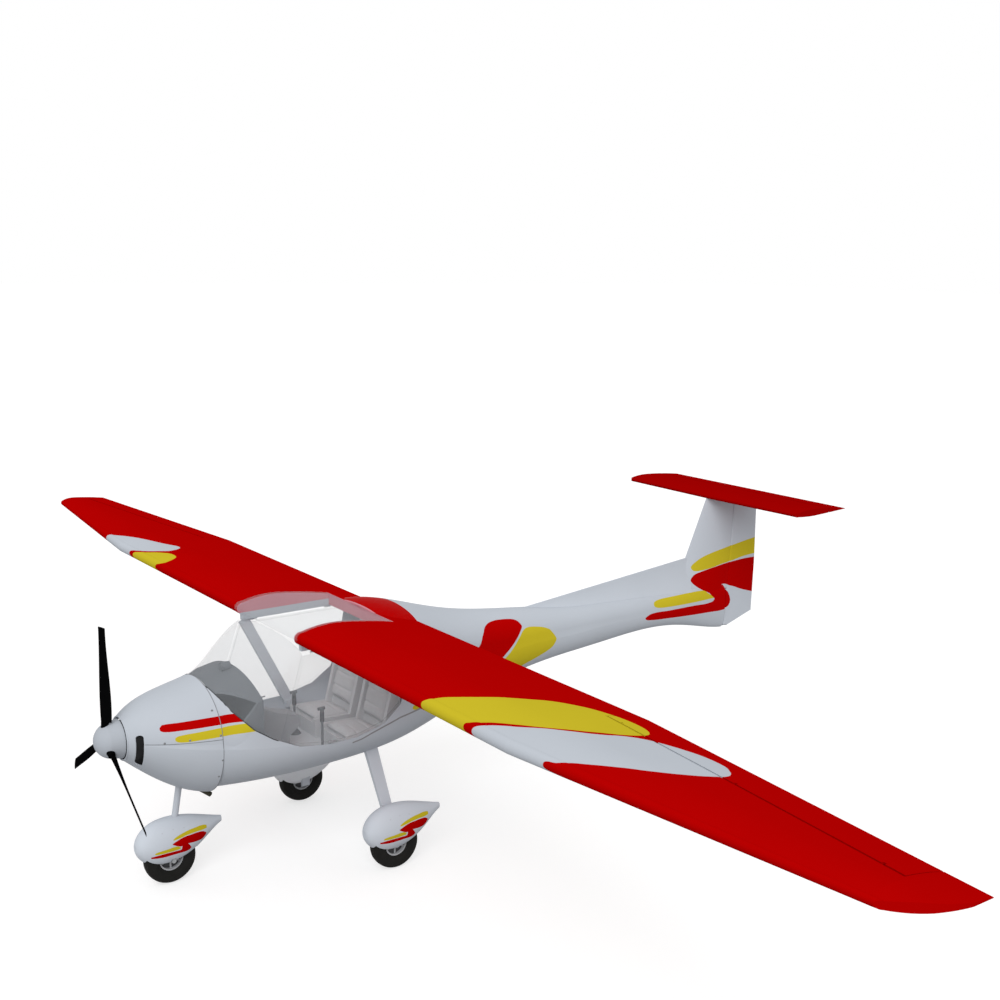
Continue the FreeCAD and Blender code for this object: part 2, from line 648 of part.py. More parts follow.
def ridge_wire(station, top, half, base):
    """The ridge ahead of the fin: hollow flanks that rise out of the boom's back."""
    crest = 7.0
    rise = top - base
    edges = [Part.makeLine(P(-half, station, base), P(half, station, base)),
             Part.makeLine(P(-crest, station, top), P(crest, station, top))]
    for side in (1, -1):
        edges.append(Part.Arc(P(side * half, station, base),
                              P(side * (crest + 0.36 * (half - crest)), station, base + 0.42 * rise),
                              P(side * crest, station, top)).toShape())
    return Part.Wire(Part.__sortEdges__(edges))


def build_tail(tail):
    """The hollow fin with its ridge, and the rudder on its two pins."""
    # height, leading edge station, thickness
    fin_rows = [(1300, 5060, 100), (1640, 5222, 86), (TAIL_Z - 8, 5460, 60)]
    fin = Part.makeLoft([lens_wire(z, s, rudder_hinge(z) - RUDDER_GAP, t)
                         for z, s, t in fin_rows], True, True)
    # station, top, half width at the base, base
    ridge = [(3440, 1464, 60, 1396), (5260, 1640, 70, 1320)]
    fin = fin.fuse(Part.makeLoft([ridge_wire(*row) for row in ridge], True, True))
    fin = fin.cut(body_loft(FUSELAGE_SECTIONS, -FIT_GAP)).cut(tail)
    fin = fin.cut(rudder_pin(RUDDER_FOOT[1] - 40, RUDDER_HEAD[1] + 60, RUDDER_HALF + MOVING_GAP))
    room = Part.makeLoft([lens_wire(z, s + 40, rudder_hinge(z) - RUDDER_GAP - 30, t - 2 * SKIN)
                          for z, s, t in ((1400, 5110, 95), (1640, 5222, 86), (2126, 5450, 60))],
                         True, True)
    fin = fin.cut(room)
    z = RUDDER_HEAD[1]
    lug = box(-9, 9, rudder_hinge(z) - 60, rudder_hinge(z) + 9, z, z + 5)
    fin = fin.fuse(lug).fuse(rudder_pin(z - 26, z + 1, PIN_R))
    put("fin", biggest(fin))

    # height, trailing edge station
    rows = [(RUDDER_FOOT[1] + 6, LENGTH - 24), (1500, LENGTH), (RUDDER_HEAD[1] - 6, LENGTH)]
    wires = []
    for z, te in rows:
        s0 = rudder_hinge(z)
        wires.append(Part.makePolygon([P(-RUDDER_HALF, s0, z), P(RUDDER_HALF, s0, z),
                                       P(RUDDER_EDGE, te, z), P(-RUDDER_EDGE, te, z),
                                       P(-RUDDER_HALF, s0, z)]))
    rudder = Part.makeLoft(wires, True, True)
    foot_cut = outline_prism([(5600, 900), (6200, 900), (6200, 1060), (5740, 940), (5600, 906)],
                             -80, 80)
    low, high = RUDDER_FOOT[1] + 8, RUDDER_HEAD[1] - 8
    rudder = rudder.cut(foot_cut).fuse(rudder_pin(low, high, RUDDER_HALF)).removeSplitter()
    foot_z = RUDDER_FOOT[1] + 16
    rudder = rudder.cut(box(-60, 60, 5600, rudder_hinge(foot_z) + 22, 800, foot_z + MOVING_GAP))
    for z in (foot_z, RUDDER_HEAD[1]):
        rudder = rudder.cut(rudder_pin(z - 28, z + 28, PIN_R + PIN_GAP))
    put("rudder", biggest(rudder))


def build_tailplane(tail):
    """The hollow tailplane and the elevator behind it, on four pins."""
    half, z = TAIL_HALF_SPAN, TAIL_Z + 0.03 * TAIL_THICK * TAIL_CHORD
    reach, low, high = half + 100, TAIL_Z - 150, TAIL_Z + 150

    def along_hinge(x0, x1, radius):
        return rod(P(x0, ELEVATOR_HINGE, z), P(x1, ELEVATOR_HINGE, z), radius)

    cut = box(-reach, reach, ELEVATOR_HINGE - 12, LENGTH + 100, low, high)
    cut = cut.fuse(along_hinge(-reach, reach, ELEVATOR_NOSE_R + MOVING_GAP))
    elevator = tail.common(box(-reach, reach, ELEVATOR_HINGE, LENGTH + 100, low, high))
    elevator = elevator.fuse(along_hinge(-half, half, ELEVATOR_NOSE_R)).removeSplitter()
    room = Part.makeLoft([wing_wire(x, TAIL_LE + 45, TAIL_CHORD - 60,
                                    TAIL_Z, TAIL_THICK - 4 * SKIN / TAIL_CHORD, 0)
                          for x in (30 - half, half - 30)], True, True)
    room = room.common(box(-reach, reach, TAIL_LE, ELEVATOR_HINGE - 45, low, high))
    fixed = tail.cut(cut).cut(room)
    for x in (-780, -200, 200, 780):
        lug, slot = surface_hinge(P(x, ELEVATOR_HINGE, z), V(1, 0, 0), V(0, 1, 0), 40)
        fixed = fixed.fuse(lug)
        elevator = elevator.cut(slot)
    put("tailplane", biggest(fixed))
    put("elevator", biggest(elevator))


# ---------------------------------------------------------------- landing gear
# offset from the axle, lower z, upper z, half width
PANT_SECTIONS = [
    (-232, 264, 320, 26),
    (-190, 196, 398, 78),
    (-110, 148, 448, 104),
    (0, 140, 464, 112),
    (120, 172, 450, 102),
    (240, 246, 418, 68),
    (374, 336, 380, 14),
]


def pant_wire(offset, low, high, half):
    mid = (low + high) / 2
    c = P(0, offset, mid)
    ends = [P(0, offset, low), P(half, offset, mid), P(0, offset, high), P(-half, offset, mid)]
    return Part.Wire([quarter(c, a, b) for a, b in zip(ends, ends[1:] + ends[:1])])


def build_pant(x, station):
    """A wheel fairing: a teardrop with a round well for the tyre, open below."""
    pant = Part.makeLoft([pant_wire(*row) for row in PANT_SECTIONS], True, False)
    half, radius = TYRE_W / 2 + WELL_GAP, WHEEL_R + WELL_GAP
    well = rod(P(-half, 0, WHEEL_R), P(half, 0, WHEEL_R), radius)
    well = well.fuse(box(-half, half, -radius, radius, 60, WHEEL_R))
    pant = biggest(pant.cut(well))
    pant.translate(V(x, station, 0))
    return pant


def build_wheel(x, station):
    half = TYRE_W / 2
    center = P(x, station, WHEEL_R)
    axis = V(1, 0, 0)
    r_in = RIM_R + FIT_GAP
    # tyre profile: bead, wall and crown, revolved about the axle
    corners = [(-half + 16, r_in), (-half, r_in + 26), (-half + 6, WHEEL_R - 22),
               (0, WHEEL_R), (half - 6, WHEEL_R - 22), (half, r_in + 26), (half - 16, r_in)]
    pts = [P(x + dx, station, WHEEL_R + r) for dx, r in corners]
    edges = [Part.makeLine(pts[0], pts[1]), Part.makeLine(pts[1], pts[2]),
             Part.Arc(pts[2], pts[3], pts[4]).toShape(), Part.makeLine(pts[4], pts[5]),
             Part.makeLine(pts[5], pts[6]), Part.makeLine(pts[6], pts[0])]
    tyre = Part.Face(Part.Wire(edges)).revolve(center, axis, 360)

    def barrel(x0, x1, radius, rise=0.0):
        return rod(P(x + x0, station, WHEEL_R + rise), P(x + x1, station, WHEEL_R + rise), radius)

    disc = RIM_WALL - 1
    rim = barrel(18 - half, half - 18, RIM_R)
    for side in (1, -1):
        x0, x1 = sorted((side * disc, side * half))
        rim = rim.cut(barrel(x0, x1, RIM_R - RIM_WALL))
    middle = (HUB_R + RIM_R - RIM_WALL) / 2
    for index in range(SPOKE_HOLES):
        hole = barrel(-2 * disc, 2 * disc, SPOKE_HOLE_R, middle)
        hole.rotate(center, axis, 360 * (index + 0.5) / SPOKE_HOLES)
        rim = rim.cut(hole)
    rim = rim.fuse(barrel(12 - half, half - 12, HUB_R))
    return tyre, rim.cut(barrel(-half, half, AXLE_R + BEARING_GAP)).removeSplitter()


def main_leg(knee_x, grow):
    """A sprung leg: a tapered blade from inside the belly to the knee, then upright."""
    # side offset, height, share of the leg's full section, lean of the section
    rows = [(380, 800, 1.15, 0.6), (knee_x, 372, 0.95, 0.3), (knee_x, 140, 0.75, 0.0)]
    wires = []
    for x, z, share, lean in rows:
        hx = MAIN_LEG_THICK / 2 * share + grow
        hy = MAIN_LEG_CHORD / 2 * share + grow
        corners = [(-hx, -hy), (hx, -hy), (hx, hy), (-hx, hy), (-hx, -hy)]
        wires.append(Part.makePolygon([P(x + dx, MAIN_STATION + dy, z + lean * dx)
                                       for dx, dy in corners]))
    return Part.makeLoft(wires, True, True)


def nose_fork(crown, grow):
    """The crown plate under the nose leg, its two arms and the axle, grown by a clearance."""
    arm_x = TYRE_W / 2 + WELL_GAP + 1.3 * FORK_ARM_R
    side = arm_x + FORK_ARM_R + grow
    fork = box(-side, side, crown.y - 30 - grow, crown.y + 30 + grow, crown.z - 22 - grow,
               crown.z - 4 + grow)
    for x in (-arm_x, arm_x):
        fork = fork.fuse(rod(P(x, NOSE_STATION, WHEEL_R - 10), P(x, crown.y, crown.z - 14),
                             FORK_ARM_R + grow))
    side += 3
    return fork.fuse(rod(P(-side, NOSE_STATION, WHEEL_R), P(side, NOSE_STATION, WHEEL_R),
                         AXLE_R + grow))


def build_gear(body):
    """The sprung main legs and the steered nose leg, with their wheels and fairings."""
    half = TYRE_W / 2
    for side, name in ((1, "left"), (-1, "right")):
        x = MAIN_TRACK_HALF
        tyre, rim = build_wheel(x, MAIN_STATION)
        pant = build_pant(x, MAIN_STATION)
        knee_x = x - half - 26
        leg = main_leg(knee_x, 0)
        axle = rod(P(knee_x, MAIN_STATION, WHEEL_R), P(x + half + 6, MAIN_STATION, WHEEL_R), AXLE_R)
        leg = biggest(leg.fuse(axle).cut(body))
        near = rod(P(knee_x - 20, MAIN_STATION, WHEEL_R), P(x + half + 7, MAIN_STATION, WHEEL_R),
                   AXLE_R + FIT_GAP)
        pant = biggest(pant.cut(main_leg(knee_x, FIT_GAP)).cut(near))
        pieces = (("main_leg_", leg), ("main_pant_", pant), ("main_tyre_", tyre),
                  ("main_rim_", rim))
        for prefix, shape in pieces:
            put(prefix + name, shape if side == 1 else mirrored(shape))

    tyre, rim = build_wheel(0, NOSE_STATION)
    put("nose_tyre", tyre)
    put("nose_rim", rim)
    foot = P(0, NOSE_STATION, WHEEL_R)
    head = P(0, LEG_TOP[0], LEG_TOP[1])
    d = head.sub(foot).normalize()
    crown = foot.add(d * 215)
    leg = rod(crown, head, NOSE_LEG_R)
    put("nose_leg", leg)
    put("nose_fork", biggest(nose_fork(crown, 0).cut(leg)))
    pant = build_pant(0, NOSE_STATION).cut(rod(foot, head, NOSE_LEG_R + FIT_GAP))
    put("nose_pant", biggest(pant.cut(nose_fork(crown, FIT_GAP))))
    collar_low, collar_high = foot.add(d * 540), foot.add(d * 630)
    collar = rod(collar_low, collar_high, NOSE_LEG_R + 12)
    reach = box(-26, 26, collar_low.y, FIREWALL, collar_low.z + 20, collar_high.z - 20)
    collar = collar.fuse(reach).cut(rod(foot, head.add(d * 20), NOSE_LEG_R + BEARING_GAP))
    put("nose_leg_bracket", biggest(collar))


# ---------------------------------------------------------------- cabin
def dash_wire(station, half, side_z, top_z, low, inset=0.0):
    """The dash's arch: a round top over upright sides."""
    half, side_z, top_z = half - inset, side_z - inset, top_z - inset
    a, b = P(-half, station, side_z), P(half, station, side_z)
    return Part.Wire([Part.Arc(a, P(0, station, top_z), b).toShape(),
                      Part.makeLine(b, P(half, station, low)),
                      Part.makeLine(P(half, station, low), P(-half, station, low)),
                      Part.makeLine(P(-half, station, low), a)])


def build_dash(inner):
    """A moulded hood from the firewall aft, closed by the instrument face, with a compass."""
    front, back = FIREWALL + 4 + FIT_GAP, DASH_REAR
    rows = ((front, 425, 1296, 1386), (back, 470, 1322, 1444))
    hood = Part.makeLoft([dash_wire(s, half, side, top, DASH_LOW) for s, half, side, top in rows],
                         True, True)
    rows = ((front - 1,) + rows[0][1:], (back - 2 * DASH_WALL,) + rows[1][1:])
    room = Part.makeLoft([dash_wire(s, half, side, top, DASH_LOW - 10, DASH_WALL)
                          for s, half, side, top in rows], True, True)
    compass = rod(P(0, back - 95, 1446), P(0, back - 30, 1446), 34)
    put("instrument_panel", biggest(hood.cut(room).fuse(compass).common(inner)))


def build_seat(x):
    """A moulded bucket: a pan and back between raised sides."""
    outer = outline_prism([(1606, FLOOR_Z), (1600, 900), (1890, 884), (2024, 1400), (2090, 1384),
                           (1990, 850), (1985, FLOOR_Z)], x - SEAT_HALF, x + SEAT_HALF)
    dish = outline_prism([(1580, 872), (1926, 842), (2052, 1352), (1960, 1420), (1560, 1420)],
                         x - SEAT_HALF + SEAT_EDGE, x + SEAT_HALF - SEAT_EDGE)
    under = box(x - SEAT_HALF + SEAT_EDGE, x + SEAT_HALF - SEAT_EDGE, 1640, 1950, FLOOR_Z - 1, 826)
    return outer.cut(dish).cut(under)


def build_stick(x):
    """A control stick in its boot, with a bar across the top of the grip."""
    foot, top = P(x, STICK_STATION, FLOOR_Z), P(x, STICK_STATION, STICK_TOP)
    boot = Part.makeCone(46, STICK_R + 3, 44, foot)
    grip = rod(top.sub(V(0, 0, 100)), top, STICK_R + 5)
    bar = rod(top.sub(V(0, 30, 0)), top.add(V(0, 20, 0)), STICK_R + 3)
    return rod(foot, top, STICK_R).fuse(boot).fuse(grip).fuse(bar)


def build_interior():
    """What shows through the glass: floor, rear wall, dash, console, sticks, seats, pillar."""
    inner = body_loft(FUSELAGE_SECTIONS, SHELL_WALL + FIT_GAP)
    floor = inner.common(box(-WIDE, WIDE, FIREWALL + 10, 2200, FLOOR_Z - FLOOR_THICK, FLOOR_Z))
    put("cabin_floor", biggest(floor))
    rear = box(-WIDE, WIDE, BULKHEAD, BULKHEAD + FLOOR_THICK, 600, 1560)
    put("rear_bulkhead", biggest(inner.common(rear)))
    build_dash(inner)
    console = outline_prism([(DASH_REAR + FIT_GAP, 1216), (1250, 1058), (1424, 1006), (1428, 934),
                             (1346, 868), (1346, FLOOR_Z), (DASH_REAR + FIT_GAP, FLOOR_Z)],
                            -CONSOLE_HALF, CONSOLE_HALF)
    put("center_console", console)
    room = body_loft(FUSELAGE_SECTIONS, SHELL_WALL + FRAME_WALL)
    for side, name in ((1, "left"), (-1, "right")):
        put("control_stick_" + name, build_stick(side * STICK_X))
        put("seat_" + name, biggest(build_seat(side * SEAT_X).common(room)))
    top, foot = P(-476, ROOT_LE + 44, 1640), P(-506, 1640, 880)
    d = foot.sub(top)
    brace = box(-PILLAR_THICK / 2, PILLAR_THICK / 2, -PILLAR_HALF, PILLAR_HALF, 0, d.Length)
    brace.Placement = FreeCAD.Placement(top, FreeCAD.Rotation(V(0, 0, 1), d))
    brace = brace.common(body_loft(FUSELAGE_SECTIONS, FRAME_WALL + MOVING_GAP))
    pad = box(-620, -480, 1590, 1670, 870, 925).common(inner)
    hinge_room = box(-560, -DOOR_HINGE[0] + KNUCKLE_R + MOVING_GAP, 1290, 1390, 1560, RAIL_Z)
    brace = brace.fuse(pad).cut(roof_rail(-1)).cut(hinge_room).removeSplitter()
    put("cabin_pillar_right", biggest(brace))


def main():
    os.makedirs(PARTS, exist_ok=True)
    body = build_fuselage()
    build_glass(body)
    build_nose()
    build_propeller()
    build_wing()
    tail = tail_loft()
    build_tail(tail)
    build_tailplane(tail)
    build_gear(body)
    build_interior()
    for name, count, volume, b in NODES:
        print("%-24s %d solids %9.5f m3  x %6.0f %6.0f  y %6.0f %6.0f  z %6.0f %6.0f" % (
            name, count, volume, b.XMin, b.XMax, b.YMin, b.YMax, b.ZMin, b.ZMax))


main()
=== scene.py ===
import math

import bmesh
import bpy
from mathutils import Matrix, Vector
from mathutils.bvhtree import BVHTree


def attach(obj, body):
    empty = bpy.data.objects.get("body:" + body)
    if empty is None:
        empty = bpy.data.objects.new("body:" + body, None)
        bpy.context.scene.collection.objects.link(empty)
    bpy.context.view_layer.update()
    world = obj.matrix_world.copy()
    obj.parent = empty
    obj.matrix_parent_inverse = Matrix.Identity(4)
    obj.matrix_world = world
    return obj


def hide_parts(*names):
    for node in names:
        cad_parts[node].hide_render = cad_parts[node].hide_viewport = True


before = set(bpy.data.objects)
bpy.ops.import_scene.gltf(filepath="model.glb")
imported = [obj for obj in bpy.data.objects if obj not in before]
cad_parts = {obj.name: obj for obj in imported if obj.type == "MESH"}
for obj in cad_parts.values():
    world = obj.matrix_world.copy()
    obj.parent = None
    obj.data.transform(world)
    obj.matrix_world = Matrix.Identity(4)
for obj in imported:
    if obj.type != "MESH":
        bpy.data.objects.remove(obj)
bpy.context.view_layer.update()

# ---------- floor and light
# A wide pale studio floor under a soft white dome, with a broad lamp high to the left front.
# Floor and dome show white behind the aircraft, and the floor keeps its shadow.
HALL_HALF = 140.0
FLOOR_GREY = 0.46
FLOOR_LIFT = 0.63
DOME_LEVEL = 0.76
LAMP_LEVEL = 1.5
LAMP_SPREAD = math.radians(40)
LAMP_FROM = Vector((8.0, -7.0, 8.0))


def into_scene(name, data):
    """Sets a mesh, lamp or camera up in the scene."""
    thing = bpy.data.objects.new(name, data)
    bpy.context.scene.collection.objects.link(thing)
    return thing


def tree_of(holder):
    """The nodes and links of a material or world."""
    holder.use_nodes = True
    return holder.node_tree.nodes, holder.node_tree.links


def math_node(nodes, links, operation, *values):
    """One arithmetic node, fed by sockets or plain numbers."""
    node = nodes.new("ShaderNodeMath")
    node.operation = operation
    for slot, value in zip(node.inputs, values):
        if isinstance(value, (int, float)):
            slot.default_value = value
        else:
            links.new(value, slot)
    return node.outputs[0]


def spread(nodes, links, value, low, high):
    """Stretches a 0 to 1 value over a range."""
    node = nodes.new("ShaderNodeMapRange")
    node.inputs["To Min"].default_value = low
    node.inputs["To Max"].default_value = high
    links.new(value, node.inputs["Value"])
    return node.outputs[0]


def seen_directly(nodes, links):
    """1 on camera, mirror and see-through rays, 0 on the rays that light the object."""
    path = nodes.new("ShaderNodeLightPath").outputs
    mirrored = math_node(nodes, links, "MAXIMUM", path["Is Camera Ray"], path["Is Glossy Ray"])
    return math_node(nodes, links, "MAXIMUM", mirrored, path["Is Transmission Ray"])


floor_mesh = bpy.data.meshes.new("hall_floor")
floor_mesh.from_pydata([(x * HALL_HALF, y * HALL_HALF, 0)
                        for x, y in ((-1, -1), (1, -1), (1, 1), (-1, 1))], [], [(0, 1, 2, 3)])
hall_floor = into_scene("hall_floor", floor_mesh)
floor_finish = bpy.data.materials.new("hall_floor")
nodes, links = tree_of(floor_finish)
nodes.clear()
matt = nodes.new("ShaderNodeBsdfDiffuse")
matt.inputs["Color"].default_value = (FLOOR_GREY, FLOOR_GREY, FLOOR_GREY, 1)
lift = nodes.new("ShaderNodeEmission")
links.new(seen_directly(nodes, links), lift.inputs["Strength"])
lift.inputs["Color"].default_value = (FLOOR_LIFT, FLOOR_LIFT, FLOOR_LIFT, 1)
both = nodes.new("ShaderNodeAddShader")
links.new(matt.outputs[0], both.inputs[0])
links.new(lift.outputs[0], both.inputs[1])
out = nodes.new("ShaderNodeOutputMaterial")
links.new(both.outputs[0], out.inputs["Surface"])
floor_mesh.materials.append(floor_finish)

dome = bpy.data.worlds.new("dome")
bpy.context.scene.world = dome
nodes, links = tree_of(dome)
nodes.clear()
sky = nodes.new("ShaderNodeBackground")
sky.inputs["Color"].default_value = (1, 1, 1, 1)
links.new(spread(nodes, links, seen_directly(nodes, links), DOME_LEVEL, 1.0),
          sky.inputs["Strength"])
links.new(sky.outputs[0], nodes.new("ShaderNodeOutputWorld").inputs["Surface"])

lamp = bpy.data.lights.new("hall_lamp", "SUN")
lamp.energy = LAMP_LEVEL
lamp.angle = LAMP_SPREAD
hall_lamp = into_scene("hall_lamp", lamp)
hall_lamp.rotation_euler = (-LAMP_FROM).to_track_quat("-Z", "Y").to_euler()
bpy.context.scene.view_settings.view_transform = "Standard"

# ---------- camera
# It stands high off the left wing's leading edge, looks back across the cabin, and is aimed
# high, so that the aircraft lies in the lower half of the frame.
EYE = (8.26898, -5.66630, 4.28728)
YAW, PITCH, ROLL = 0.89523, -0.17116, 0.01730
SENSOR = 36.0
LENS = 1.31012 * SENSOR
SHIFT = (-0.080, -0.020)
FARTHEST = 400.0
eye_data = bpy.data.cameras.new("eye")
eye_data.sensor_width = SENSOR
eye_data.lens = LENS
eye_data.shift_x, eye_data.shift_y = SHIFT
eye_data.clip_end = FARTHEST
eye = into_scene("eye", eye_data)
eye.matrix_world = (Matrix.Translation(EYE) @ Matrix.Rotation(YAW, 4, "Z")
                    @ Matrix.Rotation(math.pi / 2 + PITCH, 4, "X")
                    @ Matrix.Rotation(ROLL, 4, "Z"))
bpy.context.scene.camera = eye

# ---------- fuselage shell
# The pod and boom are one glass-fibre moulding under a pale blue-grey gelcoat. Red and yellow
# flashes are sprayed on its flanks over paper masks.
WHITE = (0.485, 0.519, 0.568)
RED = (0.42, 0.0004, 0.0004)
YELLOW = (0.55, 0.45, 0.022)
AXES = {"x": 0, "y": 1, "z": 2}
# every finish: fineness of its clouds and polish, spread of its gloss, depth of its relief
CLOUD_DETAIL, POLISH_SCALE = 5.0, 9.0
GLOSSIER, DULLER = 0.06, 0.08
RELIEF_DEPTH = 0.001


def tinted(colour, share):
    """A colour made lighter or deeper."""
    return [share * level for level in colour]


def noise(finish, scale, detail=2.0):
    """A cloudy 0 to 1 pattern that stays with the piece."""
    nodes, links = tree_of(finish)
    cloud = nodes.new("ShaderNodeTexNoise")
    cloud.inputs["Scale"].default_value = scale
    cloud.inputs["Detail"].default_value = detail
    links.new(nodes["place"].outputs["Object"], cloud.inputs["Vector"])
    return cloud.outputs["Fac"]


def emboss(finish, height, strength, depth):
    """Raises the surface where a pattern is high."""
    nodes, links = tree_of(finish)
    relief = nodes.new("ShaderNodeBump")
    relief.inputs["Strength"].default_value = strength
    relief.inputs["Distance"].default_value = depth
    links.new(height, relief.inputs["Height"])
    links.new(relief.outputs[0], nodes["Principled BSDF"].inputs["Normal"])


def sprayed(name, colour, rough=0.34, shine=0.002, peel=0.03, peel_scale=420.0, mottle=0.03,
            cloud_scale=2.3, metal=0.0):
    """A finish with a cloudy tint, an uneven polish and a fine relief of its own."""
    finish = bpy.data.materials.new(name)
    nodes, links = tree_of(finish)
    nodes.new("ShaderNodeTexCoord").name = "place"
    body = nodes["Principled BSDF"]
    body.inputs["Specular IOR Level"].default_value = shine
    body.inputs["Metallic"].default_value = metal
    tint = nodes.new("ShaderNodeVectorMath")
    tint.operation = "SCALE"
    tint.name = "tint"
    tint.inputs[0].default_value = colour
    clouds = noise(finish, cloud_scale, CLOUD_DETAIL)
    links.new(spread(nodes, links, clouds, 1.0 - mottle, 1.0 + mottle), tint.inputs["Scale"])
    links.new(tint.outputs[0], body.inputs["Base Color"])
    polish = noise(finish, POLISH_SCALE)
    links.new(spread(nodes, links, polish, rough - GLOSSIER, rough + DULLER),
              body.inputs["Roughness"])
    if peel:
        emboss(finish, noise(finish, peel_scale), peel, RELIEF_DEPTH)
    return finish


def lay_over(finish, colour, mask):
    """Lays a second colour over a finish wherever the mask is 1."""
    nodes, links = tree_of(finish)
    tint = nodes["tint"]
    coat = nodes.new("ShaderNodeMix")
    coat.data_type = "RGBA"
    coat.inputs["A"].default_value = (*tint.inputs[0].default_value, 1)
    coat.inputs["B"].default_value = (*colour, 1)
    links.new(mask, coat.inputs["Factor"])
    if tint.inputs[0].links:
        links.new(tint.inputs[0].links[0].from_socket, coat.inputs["A"])
    links.new(coat.outputs["Result"], tint.inputs[0])


def place_axis(finish, axis):
    """The place along one axis, as a socket of the finish."""
    nodes, links = tree_of(finish)
    split = nodes.get("split")
    if split is None:
        split = nodes.new("ShaderNodeSeparateXYZ")
        split.name = "split"
        links.new(nodes["place"].outputs["Object"], split.inputs[0])
    return split.outputs[AXES[axis]]


def flash(finish, colour, along, across, rows, only=None):
    """A painted flash. Each row is a place along it and its two edges there. It may be kept to
    one side of a plane, given as (axis, test, place)."""
    nodes, links = tree_of(finish)

    def reckon(operation, *values):
        return math_node(nodes, links, operation, *values)

    rise = place_axis(finish, across)
    if across == "x":
        rise = reckon("ABSOLUTE", rise)
    start, length = rows[0][0], rows[-1][0] - rows[0][0]
    low, high = min(row[1] for row in rows), max(row[2] for row in rows)
    share = reckon("DIVIDE", reckon("SUBTRACT", place_axis(finish, along), start), length)
    mask = reckon("MULTIPLY", reckon("GREATER_THAN", share, 0.0), reckon("LESS_THAN", share, 1.0))
    for column, test in ((1, "GREATER_THAN"), (2, "LESS_THAN")):
        edge = nodes.new("ShaderNodeFloatCurve")
        links.new(share, edge.inputs["Value"])
        line = edge.mapping.curves[0]
        spots = [((row[0] - start) / length, (row[column] - low) / (high - low)) for row in rows]
        line.points[0].location, line.points[1].location = spots[0], spots[-1]
        for spot in spots[1:-1]:
            line.points.new(*spot)
        edge.mapping.update()
        bound = reckon("MULTIPLY_ADD", edge.outputs[0], high - low, low)
        mask = reckon("MULTIPLY", mask, reckon(test, rise, bound))
    if only:
        axis, test, limit = only
        mask = reckon("MULTIPLY", mask, reckon(test, place_axis(finish, axis), limit))
    lay_over(finish, colour, mask)


def dress(finish, *parts):
    """Gives some CAD nodes their finish."""
    for part in parts:
        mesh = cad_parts[part].data
        mesh.materials.clear()
        mesh.materials.append(finish)


# flank flashes: place along the body, lower edge, upper edge
REAR_YELLOW = [(-0.960, 1.046, 1.048), (-0.940, 1.032, 1.066), (-0.830, 1.018, 1.066),
               (-0.660, 1.004, 1.066), (-0.500, 0.990, 1.066), (-0.350, 0.980, 1.070),
               (-0.230, 0.975, 1.078), (-0.095, 0.972, 1.098), (0.000, 0.976, 1.128),
               (0.066, 0.984, 1.160), (0.154, 1.003, 1.225), (0.224, 1.021, 1.297),
               (0.276, 1.036, 1.344), (0.308, 1.045, 1.353), (0.405, 1.074, 1.343),
               (0.533, 1.122, 1.303), (0.566, 1.140, 1.272), (0.600, 1.176, 1.232),
               (0.612, 1.204, 1.208)]
REAR_RED = [(-0.976, 1.120, 1.124), (-0.942, 1.096, 1.142), (-0.884, 1.089, 1.162),
            (-0.800, 1.083, 1.196), (-0.740, 1.081, 1.222), (-0.713, 1.080, 1.200),
            (-0.627, 1.082, 1.164), (-0.560, 1.082, 1.170), (-0.485, 1.083, 1.186),
            (-0.383, 1.086, 1.225), (-0.291, 1.094, 1.268), (-0.213, 1.106, 1.320),
            (-0.160, 1.118, 1.395), (-0.085, 1.138, 1.449), (0.012, 1.162, 1.456),
            (0.060, 1.188, 1.452), (0.144, 1.246, 1.442), (0.200, 1.300, 1.430),
            (0.233, 1.336, 1.413), (0.255, 1.360, 1.386), (0.261, 1.371, 1.375)]
MID_RED = [(-1.080, 1.228, 1.296), (-0.869, 1.228, 1.297), (-0.770, 1.226, 1.300),
           (-0.740, 1.200, 1.301), (-0.700, 1.150, 1.303), (-0.635, 1.158, 1.306),
           (-0.600, 1.176, 1.305), (-0.538, 1.201, 1.299), (-0.507, 1.226, 1.284),
           (-0.497, 1.250, 1.254)]
MID_YELLOW = [(-1.080, 1.150, 1.222), (-0.997, 1.148, 1.222), (-0.940, 1.152, 1.220),
              (-0.875, 1.172, 1.219), (-0.770, 1.214, 1.218)]
BOOM_RED = [(1.616, 1.196, 1.200), (1.640, 1.180, 1.216), (1.689, 1.171, 1.229),
            (1.919, 1.150, 1.222), (2.208, 1.128, 1.213), (2.440, 1.114, 1.205),
            (2.478, 1.111, 1.214), (2.496, 1.110, 1.240), (2.504, 1.109, 1.330),
            (2.581, 1.105, 1.346), (2.640, 1.107, 1.308), (2.691, 1.114, 1.264),
            (2.722, 1.136, 1.216), (2.735, 1.170, 1.178)]
BOOM_YELLOW = [(1.722, 1.296, 1.304), (1.745, 1.276, 1.326), (1.794, 1.264, 1.334),
               (1.997, 1.250, 1.334), (2.228, 1.242, 1.332), (2.345, 1.240, 1.326),
               (2.400, 1.240, 1.300), (2.484, 1.239, 1.243)]
NOSE_RED = [(-2.710, 1.192, 1.198), (-2.702, 1.182, 1.210), (-2.684, 1.178, 1.221),
            (-2.587, 1.182, 1.229), (-2.364, 1.193, 1.243), (-2.100, 1.203, 1.256)]
NOSE_YELLOW = [(-2.634, 1.126, 1.132), (-2.626, 1.115, 1.143), (-2.601, 1.108, 1.152),
               (-2.486, 1.112, 1.164), (-2.343, 1.120, 1.176), (-2.080, 1.131, 1.196)]
FIN_YELLOW = [(2.222, 1.546, 1.552), (2.234, 1.526, 1.570), (2.263, 1.512, 1.590),
              (2.341, 1.512, 1.629), (2.445, 1.521, 1.657), (2.569, 1.536, 1.676),
              (2.729, 1.545, 1.690), (2.891, 1.564, 1.708), (3.060, 1.570, 1.724)]
